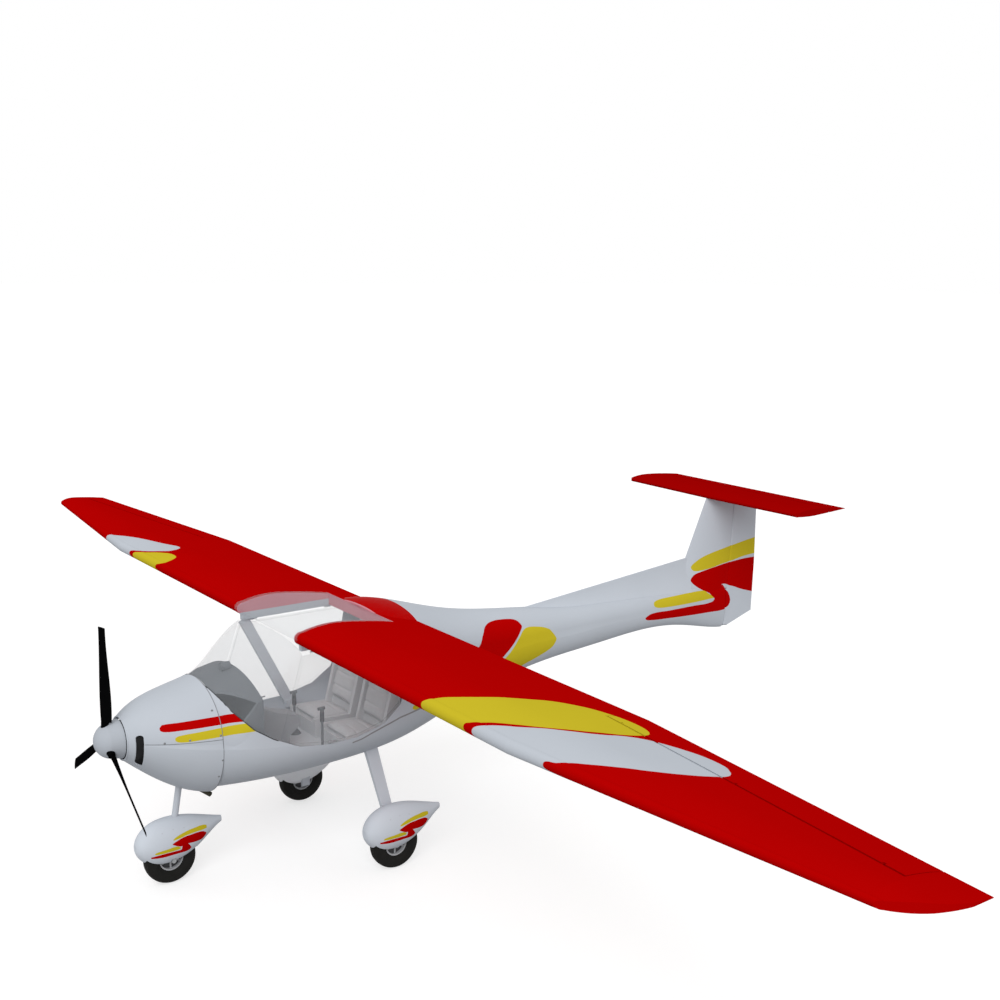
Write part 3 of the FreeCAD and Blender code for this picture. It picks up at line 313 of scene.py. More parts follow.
FIN_RED = [(2.214, 1.432, 1.438), (2.226, 1.412, 1.456), (2.258, 1.384, 1.482),
           (2.341, 1.332, 1.502), (2.431, 1.288, 1.517), (2.496, 1.237, 1.524),
           (2.508, 1.250, 1.525), (2.581, 1.344, 1.532), (2.732, 1.309, 1.536),
           (2.887, 1.252, 1.541), (3.060, 1.200, 1.536)]
# the roof rails' upper halves are pink, red lightened by painted light for the roof pane's haze;
# their outer sides are red, and the deck behind is red
RAIL_PAINTED_LIGHT = (0.58, 0.21, 0.25)
RAIL = [(-1.900, 1.672, 1.800), (-1.094, 1.672, 1.800)]
RAIL_EDGE = 0.460
DECK_RED = [(-1.092, 1.662, 1.800), (-0.960, 1.652, 1.800), (-0.822, 1.634, 1.800)]
gelcoat = sprayed("fuselage_gelcoat", WHITE)
for paint, rows in ((YELLOW, REAR_YELLOW), (RED, REAR_RED), (YELLOW, MID_YELLOW), (RED, MID_RED),
                    (YELLOW, FIN_YELLOW), (RED, FIN_RED), (YELLOW, BOOM_YELLOW), (RED, BOOM_RED),
                    (RED, NOSE_RED), (YELLOW, NOSE_YELLOW), (RAIL_PAINTED_LIGHT, RAIL), (RED, DECK_RED)):
    flash(gelcoat, paint, "y", "z", rows)
for test, edge in (("GREATER_THAN", RAIL_EDGE), ("LESS_THAN", -RAIL_EDGE)):
    flash(gelcoat, RED, "y", "z", RAIL, ("x", test, edge))
dress(gelcoat, "fuselage_shell")

# ---------- cowlings
# Two thin glass-fibre mouldings meet along a level split line and butt against the cabin.
# Slotted quarter-turn studs hold them, and a dark foam seal shows in each joint.
COWL_END, COWL_MIDDLE = -2.3530, 1.07
GIRTH_STEP = 4
SPLIT_HEIGHT = 1.0990
SPLIT_START, SPLIT_STEP, SPLIT_SPOTS = -2.796, 0.02, 23
SEAL_WIDTH, SEAL_PROUD = 0.0050, 0.0010
# section of a laid strip, as shares of its half width and of how proud it stands
STRIP = ((-1, -1.5), (-0.9, 0.5), (-0.4, 1), (0.4, 1), (0.9, 0.5), (1, -1.5))
STUD_R, STUD_PROUD, STUD_SIDES = 0.0075, 0.0022, 20
# a stud's outline, as shares of its radius and of how proud it stands, and its slot's depth
STUD = ((1.0, -0.8), (1.0, 0.35), (0.84, 0.8), (0.5, 1.0))
SLOT_DEEP = 0.7
# stud places: along the body, height
STUDS = [(-2.383, 1.277), (-2.365, 1.127), (-2.358, 0.957), (-2.368, 0.830),
         (-2.693, 1.107), (-2.550, 1.117)]
# how far off the middle a line starts that feels for a surface
FEELER = 0.9
COWLS = ("cowl_upper", "cowl_lower")
dress(gelcoat, *COWLS)
surfaces = {}


def skin(parts, start, toward):
    """Where a line first meets the outside of some CAD nodes: the point and the way out."""
    nearest = None
    for part in parts:
        if part not in surfaces:
            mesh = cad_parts[part].data
            surfaces[part] = BVHTree.FromPolygons([v.co for v in mesh.vertices],
                                                  [p.vertices for p in mesh.polygons])
        spot, out, _, reach = surfaces[part].ray_cast(Vector(start), Vector(toward))
        if spot is not None and (nearest is None or reach < nearest[2]):
            nearest = (spot, out if out.dot(Vector(toward)) < 0 else -out, reach)
    return nearest and nearest[:2]


def flank(parts, side, along, height):
    """The outside of some CAD nodes on the left (1) or right (-1) flank."""
    return skin(parts, (side * FEELER, along, height), (-side, 0, 0))


def settle(bm, name, finish, body, smooth=True):
    """Turns a finished mesh into a piece that rides on a body."""
    bmesh.ops.recalc_face_normals(bm, faces=bm.faces)
    mesh = bpy.data.meshes.new(name)
    bm.to_mesh(mesh)
    bm.free()
    for face in mesh.polygons:
        face.use_smooth = smooth
    mesh.materials.append(finish)
    piece = into_scene(name, mesh)
    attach(piece, body)
    return piece


def join(bm, rings, capped=False):
    """Joins each closed ring of corners to the next, and may cap the first and the last."""
    for ring, follow in zip(rings, rings[1:]):
        for a in range(len(ring)):
            b = (a + 1) % len(ring)
            bm.faces.new((ring[a], ring[b], follow[b], follow[a]))
    if capped:
        bm.faces.new(rings[0])
        bm.faces.new(rings[-1])


def circle(sides):
    """The corners of a round, as (cosine, sine) pairs."""
    turns = [a * math.tau / sides for a in range(sides)]
    return [(math.cos(turn), math.sin(turn)) for turn in turns]


def lay_strip(bm, path, width, proud, closed=False):
    """Adds a low rounded band along a run of (point, way out) pairs."""
    rings = []
    for index, (point, out) in enumerate(path):
        before = path[index - 1 if index or closed else 0][0]
        after = path[(index + 1) % len(path) if closed else min(index + 1, len(path) - 1)][0]
        across = (after - before).cross(out).normalized() * width / 2
        rings.append([bm.verts.new(point + across * side + out * rise * proud)
                      for side, rise in STRIP])
    join(bm, rings + rings[:1] if closed else rings, capped=not closed)


def stand_on(spot, out):
    """A placing whose own z points out of the surface."""
    return Matrix.Translation(spot) @ out.to_track_quat("Z", "Y").to_matrix().to_4x4()


def add_rings(bm, placing, profile, sides):
    """Rings of corners about the placing's own z, one for each (radius, height) pair."""
    return [[bm.verts.new(placing @ Vector((r * c, r * d, height))) for c, d in circle(sides)]
            for r, height in profile]


def add_stud(bm, placing, radius, proud):
    """Adds a domed stud head with a screwdriver slot sunk across it."""
    rings = add_rings(bm, placing, [(radius * r, proud * rise) for r, rise in STUD], STUD_SIDES)
    sunk = placing.to_3x3() @ Vector((0, 0, -SLOT_DEEP * proud))
    for a in (0, 1, STUD_SIDES // 2, STUD_SIDES // 2 + 1):
        for ring in rings[2:]:
            ring[a].co += sunk
    join(bm, rings)
    bm.faces.new(rings[0])
    bmesh.ops.triangulate(bm, faces=[bm.faces.new(rings[-1])])


seal_foam = sprayed("seal_foam", (0.22, 0.23, 0.25), rough=0.75, shine=0.1, peel=0.5,
                    peel_scale=900.0, mottle=0.12, cloud_scale=30.0)
stud_steel = sprayed("stud_steel", (0.20, 0.21, 0.22), rough=0.38, shine=0.5, peel=0.15,
                     mottle=0.15, cloud_scale=80.0, metal=0.8)
seam, studs = bmesh.new(), bmesh.new()
girth = []
for turn in range(0, 360, GIRTH_STEP):
    way = Vector((math.sin(math.radians(turn)), 0, math.cos(math.radians(turn))))
    girth.append(skin(COWLS, Vector((0, COWL_END, COWL_MIDDLE)) + way * FEELER, -way))
lay_strip(seam, girth, SEAL_WIDTH, SEAL_PROUD, closed=True)
for side in (1, -1):
    split = [flank(COWLS[:1], side, SPLIT_START + SPLIT_STEP * step, SPLIT_HEIGHT)
             for step in range(SPLIT_SPOTS)]
    lay_strip(seam, split, SEAL_WIDTH, SEAL_PROUD)
settle(seam, "cowl_seals", seal_foam, "airframe")
for along, height in STUDS:
    for side in (1, -1):
        add_stud(studs, stand_on(*flank(COWLS, side, along, height)), STUD_R, STUD_PROUD)
settle(studs, "cowl_studs", stud_steel, "airframe", smooth=False)

# ---------- air inlets
# Behind each kidney mouth beside the spinner a black glass-fibre scoop leads the cooling air
# to the engine. It is bonded to the inside of the cowling.
SHAFT_HEIGHT = 1.094
MOUTH_R, MOUTH_HALF = 0.202, 0.019
MOUTH_ARC = (13.0, -43.0)
MOUTH_SPOTS = 17
AHEAD_OF_NOSE = -3.2
# the scoop's rear end, how far its two walls stand off the mouth, and its floor's thickness;
# then how much it narrows, how far its lip sits behind the skin, and its least depth
SCOOP_END, SCOOP_WALL, SCOOP_FLOOR = -2.728, (0.006, 0.003), 0.0012
SCOOP_PINCH, SCOOP_SET_BACK, SCOOP_LEAST = 0.985, 0.012, 0.02
duct_black = sprayed("duct_black", (0.012, 0.012, 0.013), rough=0.62, shine=0.15, peel=0.4,
                     peel_scale=300.0, mottle=0.2, cloud_scale=25.0)


def mouth(grow, side):
    """The kidney outline, grown, as (across, height) places."""
    sweep = MOUTH_ARC[1] - MOUTH_ARC[0]
    turns = [math.radians(MOUTH_ARC[0] + sweep * spot / (MOUTH_SPOTS - 1))
             for spot in range(MOUTH_SPOTS)]
    half = MOUTH_HALF + grow
    points = [(MOUTH_R + MOUTH_HALF + grow, a) for a in turns]
    points.append((MOUTH_R, turns[-1] - half / MOUTH_R))
    points += [(MOUTH_R - MOUTH_HALF - grow, a) for a in reversed(turns)]
    points.append((MOUTH_R, turns[0] + half / MOUTH_R))
    return [(side * r * math.cos(a), SHAFT_HEIGHT + r * math.sin(a)) for r, a in points]


scoops = bmesh.new()
for side in (1, -1):
    lips = []
    for grow, end in zip(SCOOP_WALL, (SCOOP_END, SCOOP_END - SCOOP_FLOOR)):
        lip = []
        for x, z in mouth(grow, side):
            spot = skin(COWLS, (x, AHEAD_OF_NOSE, z), (0, 1, 0))[0]
            front = min(spot.y + SCOOP_SET_BACK, SCOOP_END - SCOOP_LEAST)
            lip.append(scoops.verts.new((x * SCOOP_PINCH, front, z)))
        back = [scoops.verts.new((v.co.x, end, v.co.z)) for v in lip]
        join(scoops, [lip, back])
        scoops.faces.new(back)
        lips.append(lip)
    join(scoops, lips)
settle(scoops, "inlet_scoops", duct_black, "airframe")

# ---------- firewall, engine, exhaust
# A sheet-alloy firewall carries the engine on four tubes. The engine's cases are grey cast
# alloy, and the exhaust is thin stainless tube, browned by its own heat.
dress(sprayed("firewall_alloy", (0.55, 0.56, 0.57), rough=0.42, shine=0.5, peel=0.1, mottle=0.06,
              cloud_scale=12.0, metal=0.9), "firewall")
dress(sprayed("cast_alloy", (0.26, 0.27, 0.28), rough=0.6, shine=0.4, peel=0.6, peel_scale=700.0,
              mottle=0.10, cloud_scale=20.0, metal=0.6), "engine")
dress(sprayed("burnt_steel", (0.040, 0.038, 0.026), rough=0.48, shine=0.1, peel=0.2, mottle=0.30,
              cloud_scale=22.0, metal=0.4), "exhaust_pipe")

# ---------- spinner and propeller
# The spinner is a white glass-fibre ogive over an alloy hub, and the three blades are wood
# cores under a black satin skin, clamped in the hub at their roots.
# painted shade: the spinner's white is deepened a shade below the fuselage's
SPINNER_PAINTED_SHADE = 0.88
dress(sprayed("spinner_gelcoat", tinted(WHITE, SPINNER_PAINTED_SHADE)), "spinner")
dress(sprayed("hub_alloy", (0.50, 0.51, 0.53), rough=0.35, shine=0.5, peel=0.08, mottle=0.05,
              cloud_scale=40.0, metal=0.9), "propeller_hub")
dress(sprayed("blade_black", (0.0025, 0.0025, 0.0028), rough=0.42, shine=0.0, peel=0.06,
              mottle=0.25, cloud_scale=14.0),
      "propeller_blade_one", "propeller_blade_two", "propeller_blade_three")

# ---------- clear panels
# Windscreen, roof window and door panes are blown acrylic, three millimetres thick, with the
# faint haze of a much-polished canopy. A dark rubber bead seals the windscreen's lower edge.
HAZE = 0.115
HAZE_SCALE, HAZE_DRIFT = 1.7, 0.2
GLASS_FOOT = [(-2.352, 1.395), (-2.344, 1.384), (-2.270, 1.262), (-2.160, 1.140), (-2.040, 1.058),
              (-2.000, 1.038)]
BEAD_WIDTH, BEAD_PROUD, BEAD_SPOTS = 0.0060, 0.0016, 6


def see_through(finish, cover):
    """Makes a finish clear but for a share of haze that drifts over the pane."""
    nodes, links = tree_of(finish)
    haze = spread(nodes, links, noise(finish, HAZE_SCALE), cover * (1 - HAZE_DRIFT),
                  cover * (1 + HAZE_DRIFT))
    links.new(haze, nodes["Principled BSDF"].inputs["Alpha"])
    return finish


def along_flank(parts, side, line, spots):
    """Places on a flank along a bent line of (along, height) corners."""
    path = []
    for (y0, z0), (y1, z1) in zip(line, line[1:]):
        for spot in range(spots):
            share = spot / spots
            path.append(flank(parts, side, y0 + share * (y1 - y0), z0 + share * (z1 - z0)))
    return [place for place in path if place]


dress(see_through(sprayed("acrylic", (0.50, 0.53, 0.56), rough=0.12, shine=0.05, peel=0.01,
                          mottle=0.02), HAZE),
      "windscreen", "roof_window", "door_glass_left", "door_glass_right")
bead_rubber = sprayed("bead_rubber", (0.045, 0.047, 0.050), rough=0.7, shine=0.15, peel=0.3,
                      mottle=0.15, cloud_scale=40.0)
beads = bmesh.new()
for side in (1, -1):
    foot = along_flank(("windscreen", "fuselage_shell"), side, GLASS_FOOT, BEAD_SPOTS)
    lay_strip(beads, foot, BEAD_WIDTH, BEAD_PROUD)
settle(beads, "windscreen_beads", bead_rubber, "airframe")

# ---------- flank strips
# A slim grey strip runs back along each flank from under the door, a little proud of the shell,
# and draws a thin dark line along it.
FLANK_LINE = [(-1.462, 0.911), (-1.392, 0.923), (-1.310, 0.951), (-1.224, 0.975),
            (-1.073, 1.011), (-0.888, 1.027), (-0.840, 1.030)]
FLANK_LINE_WIDTH, FLANK_LINE_PROUD, FLANK_LINE_SPOTS = 0.0120, 0.0016, 5
flank_line_grey = sprayed("flank_line_grey", (0.26, 0.262, 0.27), rough=0.7, shine=0.05, peel=0.3, mottle=0.08,
                   cloud_scale=40.0)
flank_lines = bmesh.new()
for side in (1, -1):
    line = along_flank(("fuselage_shell",), side, FLANK_LINE, FLANK_LINE_SPOTS)
    lay_strip(flank_lines, line, FLANK_LINE_WIDTH, FLANK_LINE_PROUD)
settle(flank_lines, "flank_line_strips", flank_line_grey, "airframe")

# ---------- doors
# Each door is a thin clear-resin frame bonded round its pane, hinged under the wing root.
# A small grey lever outside, on a round boss, turns the latch at the foot of the door.
FRAME_HAZE = 0.12
LEVER_PLACE = (-1.640, 0.962)
LEVER_SIZE = (0.052, 0.010, 0.005)
LEVER_SHIFT, LEVER_LIFT = Vector((0, 0.022, 0)), 0.006
LEVER_BOSS = ((0.013, -0.0005), (0.013, 0.005), (0.010, 0.008), (0.004, 0.009))
# a bar's run and its section, as shares of its length, width and thickness
BAR_RUN = (-0.5, -0.42, 0.42, 0.5)
BAR = ((-0.5, 0.0), (-0.5, 0.65), (-0.32, 1.0), (0.32, 1.0), (0.5, 0.65), (0.5, 0.0))
dress(see_through(sprayed("frame_resin", (0.46, 0.48, 0.50), rough=0.3, shine=0.05, peel=0.02,
                          mottle=0.03), FRAME_HAZE), "door_left", "door_right")


def add_bar(bm, placing, length, width, thick, nip=0.7):
    """Adds a bar with rounded long edges and nipped ends, standing on a placing."""
    rows = []
    for along, share in zip(BAR_RUN, (nip, 1.0, 1.0, nip)):
        rows.append([bm.verts.new(placing @ Vector((along * length, across * width * share,
                                                    rise * thick * share)))
                     for across, rise in BAR])
    join(bm, rows, capped=True)


def add_round(bm, placing, profile, sides=24):
    """Adds a closed turned shape: (radius, height) pairs about the placing's own z."""
    join(bm, add_rings(bm, placing, profile, sides), capped=True)


lever_grey = sprayed("lever_grey", (0.30, 0.31, 0.33), rough=0.5, shine=0.15, peel=0.2,
                     mottle=0.08, cloud_scale=50.0)
for side, name in ((1, "left"), (-1, "right")):
    lever = bmesh.new()
    spot, out = flank(("door_" + name, "door_glass_" + name), side, *LEVER_PLACE)
    add_round(lever, stand_on(spot, out), LEVER_BOSS)
    add_bar(lever, Matrix.Translation(spot + out * LEVER_LIFT + LEVER_SHIFT)
            @ Matrix.Rotation(math.pi / 2, 4, "Z") @ Matrix.Rotation(side * math.pi / 2, 4, "X"),
            *LEVER_SIZE)
    settle(lever, "door_lever_" + name, lever_grey, "door_" + name + "_body")

# ---------- cabin floor, rear wall, bar
# Floor and rear wall are glass-fibre sandwich under flecked grey trim paint. The bar from the
# starboard roof rail to the sill is a painted steel section.
dress(sprayed("trim_grey", (0.66, 0.68, 0.71), rough=0.65, shine=0.05, peel=0.5,
              peel_scale=500.0, mottle=0.08, cloud_scale=30.0), "cabin_floor", "rear_bulkhead")
dress(sprayed("painted_steel", (0.60, 0.63, 0.68), rough=0.38, shine=0.08, peel=0.05,
              mottle=0.03, cloud_scale=6.0), "cabin_pillar_right")

# ---------- instrument panel and console
# A grained grey moulding with a hood over a flat face. Black-rimmed dials, a row of rocker
# switches and two push-pull knobs sit in the face, and twin levers stand on the console.
FACE_Y = -2.0800
DIAL_R = 0.0395
BEZEL = ((DIAL_R, -0.001), (DIAL_R, 0.006), (DIAL_R - 0.003, 0.009), (DIAL_R - 0.007, 0.008),
         (DIAL_R - 0.009, 0.0025), (0.002, 0.0020))
# dials, switches and knobs: place across, height
DIALS = [(0.300, 1.322), (0.205, 1.342), (0.110, 1.352), (0.300, 1.226), (0.205, 1.240),
         (0.110, 1.250), (-0.120, 1.340), (-0.215, 1.330), (-0.310, 1.310)]
TICKS, TICK_WIDTH, TICK_PROUD = 12, 0.0014, 0.0012
TICK_LENGTH, QUARTER_LENGTH = 0.006, 0.009
TICK_PLACE = (DIAL_R - 0.014, 0, 0.0018)
NEEDLE, NEEDLE_PLACE = (0.026, 0.0018, 0.0014), (0.008, 0, 0.0030)
FIRST_READING, READING_STEP = 0.9, 1.3
SWITCHES = [(0.34 - 0.032 * k, 1.160) for k in range(8)]
SWITCH_SIZE = (0.024, 0.014, 0.0050)
KNOBS = [(-0.10, 1.150), (-0.16, 1.150)]
KNOB = ((0.004, -0.001), (0.004, 0.022), (0.013, 0.025), (0.015, 0.031), (0.013, 0.037),
        (0.004, 0.039))
LEVERS = [(-0.022, -1.935, 1.128), (0.022, -1.935, 1.128)]
LEVER_LEAN = -0.45
LEVER = ((0.020, -0.006), (0.020, 0.006), (0.006, 0.012), (0.004, 0.020), (0.004, 0.045),
         (0.010, 0.048), (0.014, 0.057), (0.010, 0.066), (0.004, 0.069))
dress(sprayed("panel_grey", (0.145, 0.157, 0.172), rough=0.6, shine=0.06, peel=0.06,
              peel_scale=650.0, mottle=0.07, cloud_scale=18.0), "instrument_panel")
dress(sprayed("console_grey", (0.36, 0.37, 0.39), rough=0.6, shine=0.06, peel=0.35,
              peel_scale=650.0, mottle=0.07, cloud_scale=18.0), "center_console")
dial_black = sprayed("dial_black", (0.010, 0.010, 0.011), rough=0.35, shine=0.3, peel=0.02,
                     mottle=0.10, cloud_scale=60.0)
dial_white = sprayed("dial_white", (0.70, 0.70, 0.68), rough=0.5, shine=0.2, peel=0.05,
                     mottle=0.05, cloud_scale=60.0)


def on_face(x, z):
    """A placing on the panel's face that points aft."""
    return Matrix.Translation((x, FACE_Y, z)) @ Matrix.Rotation(-math.pi / 2, 4, "X")


bezels, marks, levers = bmesh.new(), bmesh.new(), bmesh.new()
for number, (x, z) in enumerate(DIALS):
    add_round(bezels, on_face(x, z), BEZEL, sides=40)
    for tick in range(TICKS):
        turn = on_face(x, z) @ Matrix.Rotation(tick * math.tau / TICKS, 4, "Z")
        add_bar(marks, turn @ Matrix.Translation(TICK_PLACE),
                TICK_LENGTH if tick % 3 else QUARTER_LENGTH, TICK_WIDTH, TICK_PROUD)
    reading = Matrix.Rotation(FIRST_READING + READING_STEP * number, 4, "Z")
    add_bar(marks, on_face(x, z) @ reading @ Matrix.Translation(NEEDLE_PLACE), *NEEDLE, nip=0.4)
for x, z in SWITCHES:
    add_bar(bezels, on_face(x, z) @ Matrix.Rotation(math.pi / 2, 4, "Z"), *SWITCH_SIZE)
for x, z in KNOBS:
    add_round(bezels, on_face(x, z), KNOB)
for foot in LEVERS:
    add_round(levers, Matrix.Translation(foot) @ Matrix.Rotation(LEVER_LEAN, 4, "X"), LEVER)
settle(bezels, "panel_dials", dial_black, "airframe")
settle(marks, "dial_marks", dial_white, "airframe")
settle(levers, "console_levers", lever_grey, "airframe")

# ---------- control sticks
# A steel stick rises from a moulded boot in front of each seat. Its upper end is a ribbed
# rubber grip with a bar across the top.
STICK_ACROSS, STICK_ALONG = 0.217, -1.523
GRIP_FOOT, RIB_GAP, RIBS = 0.988, 0.010, 7
RIB = ((0.0138, -0.0025), (0.0162, -0.0010), (0.0162, 0.0010), (0.0138, 0.0025))
dress(sprayed("grip_rubber", (0.17, 0.18, 0.195), rough=0.6, shine=0.2, peel=0.4,
              peel_scale=700.0, mottle=0.10, cloud_scale=40.0),
      "control_stick_left", "control_stick_right")
moulded_black = sprayed("moulded_black", (0.020, 0.020, 0.022), rough=0.5, shine=0.25, peel=0.3,
                        peel_scale=800.0, mottle=0.15, cloud_scale=40.0)
ribs = bmesh.new()
for side in (1, -1):
    for step in range(RIBS):
        add_round(ribs, Matrix.Translation((side * STICK_ACROSS, STICK_ALONG,
                                            GRIP_FOOT + RIB_GAP * step)), RIB)
settle(ribs, "stick_grip_ribs", moulded_black, "airframe")

# ---------- seats
# Moulded grey buckets, each with a foam pan pad and a back pad in light woven covers. The pads
# are cut crowned, sewn across in channels, and piped round their edges.
PAN_PAD = (0.316, 0.300, 0.074)
BACK_PAD = (0.316, 0.420, 0.064)
# sewn channels across each pad, as shares of its half depth
PAN_CHANNELS = (-0.36, 0.36)
BACK_CHANNELS = (-0.5, 0.0, 0.5)
STITCH_WIDTH, STITCH_DEEP, STITCH_MOST = 0.045, 0.008, 0.6
PAD_CELLS, PAD_SQUARE = 26, 5
PAD_LOW = 0.55
PULL_IN = 0.035
SEAM_ROOM = 0.010
FOAM_GRAIN = 0.007
PUFF, GIVE, BLOWING, CARE = 3.0, 0.006, 20, 4
# weave: thread fineness of cover and piping, how far the threads waver, their relief, fuzz
COVER_THREAD, PIPING_THREAD = 250.0, 400.0
THREAD_WAVER, THREAD_RELIEF, THREAD_DEPTH, FUZZ = 1.2, 0.5, 0.0006, 0.25
CORNER = 0.22
PIPING_R, PIPING_INSET, PIPING_SPOTS = 0.0032, 0.006, 96
SEAT_OFF = 0.240
# middle of each pad and the way it runs, as (along, height)
PAN_PLACE = ((-1.284, 0.858), (0.9963, -0.0864))
BACK_PLACE = ((-1.056, 1.122), (0.240, 0.971))
dress(sprayed("seat_shell", (0.66, 0.67, 0.69), rough=0.55, shine=0.08, peel=0.25,
              peel_scale=500.0, mottle=0.04, cloud_scale=12.0), "seat_left", "seat_right")


def woven(name, colour, thread):
    """A woven cover: crossed threads in relief, fuzzy tint, no shine."""
    cover = sprayed(name, colour, rough=0.85, shine=0.08, peel=0.0, mottle=0.10, cloud_scale=24.0)
    nodes, links = tree_of(cover)
    height = 0.0
    for direction in ("X", "Y", "Z"):
        run = nodes.new("ShaderNodeTexWave")
        run.bands_direction = direction
        run.inputs["Scale"].default_value = thread
        run.inputs["Distortion"].default_value = THREAD_WAVER
        links.new(nodes["place"].outputs["Object"], run.inputs["Vector"])
        height = math_node(nodes, links, "ADD", height, run.outputs["Fac"])
    emboss(cover, height, THREAD_RELIEF, THREAD_DEPTH)
    nodes["Principled BSDF"].inputs["Sheen Weight"].default_value = FUZZ
    return cover


def drawn_in(u, v, width, depth):
    """A place on a pad whose sides pull in between its corners; u and v run from -1 to 1."""
    return (u * width / 2 * (1 - PULL_IN * (1 - v * v)),
            v * depth / 2 * (1 - PULL_IN * (1 - u * u)))


def pad_form(width, depth, thick):
    """A crowned closed pad, flatter below."""
    bm = bmesh.new()
    grid = {}
    for level in (1, -PAD_LOW):
        for i in range(PAD_CELLS + 1):
            for j in range(PAD_CELLS + 1):
                if level < 0 and (i in (0, PAD_CELLS) or j in (0, PAD_CELLS)):
                    grid[level, i, j] = grid[1, i, j]
                    continue
                u, v = 2 * i / PAD_CELLS - 1, 2 * j / PAD_CELLS - 1
                fall = (1 - abs(u) ** PAD_SQUARE) * (1 - abs(v) ** PAD_SQUARE)
                swell = math.sqrt(max(0.0, fall))
                grid[level, i, j] = bm.verts.new((*drawn_in(u, v, width, depth),
                                                  level * swell * thick / 2))
        for i in range(PAD_CELLS):
            for j in range(PAD_CELLS):
                bm.faces.new((grid[level, i, j], grid[level, i + 1, j],
                              grid[level, i + 1, j + 1], grid[level, i, j + 1]))
    bmesh.ops.recalc_face_normals(bm, faces=bm.faces)
    mesh = bpy.data.meshes.new("pad")
    bm.to_mesh(mesh)
    bm.free()
    return mesh


def stuff(mesh):
    """Blows a sewn cover up over its foam, as far as the cloth gives."""
    pad = into_scene("pad", mesh)
    foam = pad.modifiers.new("foam", "REMESH")
    foam.mode = "VOXEL"
    foam.voxel_size = FOAM_GRAIN
    bpy.context.view_layer.update()
    seen = bpy.context.evaluated_depsgraph_get()
    blank = bpy.data.meshes.new_from_object(pad.evaluated_get(seen))
    pad.modifiers.clear()
    pad.data = blank
    cut = [v.co.copy() for v in blank.vertices]
    cover = pad.modifiers.new("cover", "CLOTH")
    cover.settings.use_pressure = True
    cover.settings.uniform_pressure_force = PUFF
    cover.settings.effector_weights.gravity = 0.0
    cover.settings.quality = CARE
    cover.point_cache.frame_start, cover.point_cache.frame_end = 1, BLOWING
    for moment in range(1, BLOWING + 1):
        bpy.context.scene.frame_set(moment)
    seen = bpy.context.evaluated_depsgraph_get()
    blown = bpy.data.meshes.new_from_object(pad.evaluated_get(seen))
    for vertex, old in zip(blown.vertices, cut):
        move = vertex.co - old
        if move.length > GIVE:
            vertex.co = old + move * (GIVE / move.length)
    bpy.data.objects.remove(pad)
    bpy.context.scene.frame_set(1)
    return blown


def sew(mesh, depth, channels):
    """Draws the upper side down along each sewn channel."""
    for vertex in mesh.vertices:
        if vertex.co.z > 0:
            v = 2 * vertex.co.y / depth
            pull = max(math.exp(-((v - line) / STITCH_WIDTH) ** 2) for line in channels)
            vertex.co.z -= min(STITCH_DEEP * pull, STITCH_MOST * vertex.co.z)


def pad_edge(width, depth):
    """The rim of a pad as a closed run of places, with rounded corners."""
    return [Vector((*drawn_in(math.copysign(abs(c) ** CORNER, c),
                              math.copysign(abs(d) ** CORNER, d), width, depth), 0))
            for c, d in circle(PIPING_SPOTS)]


def add_tube(bm, path, radius, sides=8):
    """Adds a closed round cord along a closed level run of places."""
    rings = []
    for index, point in enumerate(path):
        ahead = (path[(index + 1) % len(path)] - path[index - 1]).normalized()
        across = ahead.cross(Vector((0, 0, 1))).normalized()
        up = across.cross(ahead)
        rings.append([bm.verts.new(point + radius * (across * c + up * d))
                      for c, d in circle(sides)])
    join(bm, rings + rings[:1])


cover_grey = woven("cover_grey", (0.68, 0.69, 0.71), COVER_THREAD)
piping_grey = woven("piping_grey", (0.42, 0.43, 0.45), PIPING_THREAD)
for label, size, channels, (centre, up) in (("pan", PAN_PAD, PAN_CHANNELS, PAN_PLACE),
                                            ("back", BACK_PAD, BACK_CHANNELS, BACK_PLACE)):
    width, depth, thick = size
    form = pad_form(width - SEAM_ROOM, depth - SEAM_ROOM, thick - SEAM_ROOM)
    form = stuff(form)
    sew(form, depth, channels)
    along, across = Vector((0, *up)), Vector((1, 0, 0))
    out = across.cross(along)
    for side, name in ((1, "left"), (-1, "right")):
        middle = Vector((side * SEAT_OFF, *centre)) + out * (PAD_LOW * thick / 2)
        set_down = Matrix.Translation(middle) @ Matrix((across, along, out)).transposed().to_4x4()
        cushion = bmesh.new()
        cushion.from_mesh(form)
        cushion.transform(set_down)
        pad = settle(cushion, "seat_%s_pad_%s" % (label, name), cover_grey, "airframe")
        piping = bmesh.new()
        add_tube(piping, pad_edge(width - PIPING_INSET, depth - PIPING_INSET), PIPING_R)
        piping.transform(set_down)
        settle(piping, "seat_%s_piping_%s" % (label, name), piping_grey, "airframe")

# ---------- wings and ailerons
# Bonded composite panels sprayed red, with a yellow and a white flash that sweep back from
# the leading edge. The ailerons carry the flashes on across their hinge line.
WING_YELLOW = [(-1.860, 2.060, 2.500), (-1.842, 2.069, 2.509), (-1.826, 2.095, 2.553),
               (-1.761, 2.155, 2.657), (-1.682, 2.250, 2.806), (-1.605, 2.328, 2.930),
               (-1.478, 2.414, 3.058), (-1.362, 2.480, 3.135), (-1.263, 2.530, 3.190),
               (-1.160, 2.620, 3.213), (-1.096, 2.700, 3.202), (-1.050, 2.800, 3.155),
               (-1.024, 2.900, 3.090), (-1.014, 2.985, 3.010)]
WING_WHITE = [(-1.860, 2.575, 3.180), (-1.843, 2.591, 3.188), (-1.815, 2.640, 3.198),
              (-1.791, 2.666, 3.286), (-1.748, 2.735, 3.350), (-1.692, 2.835, 3.450),
              (-1.604, 2.950, 3.591), (-1.510, 3.062, 3.721), (-1.386, 3.160, 3.818),
              (-1.265, 3.216, 3.873), (-1.169, 3.300, 3.884), (-1.113, 3.390, 3.852),
              (-1.078, 3.460, 3.807), (-1.045, 3.545, 3.750), (-1.032, 3.630, 3.660)]
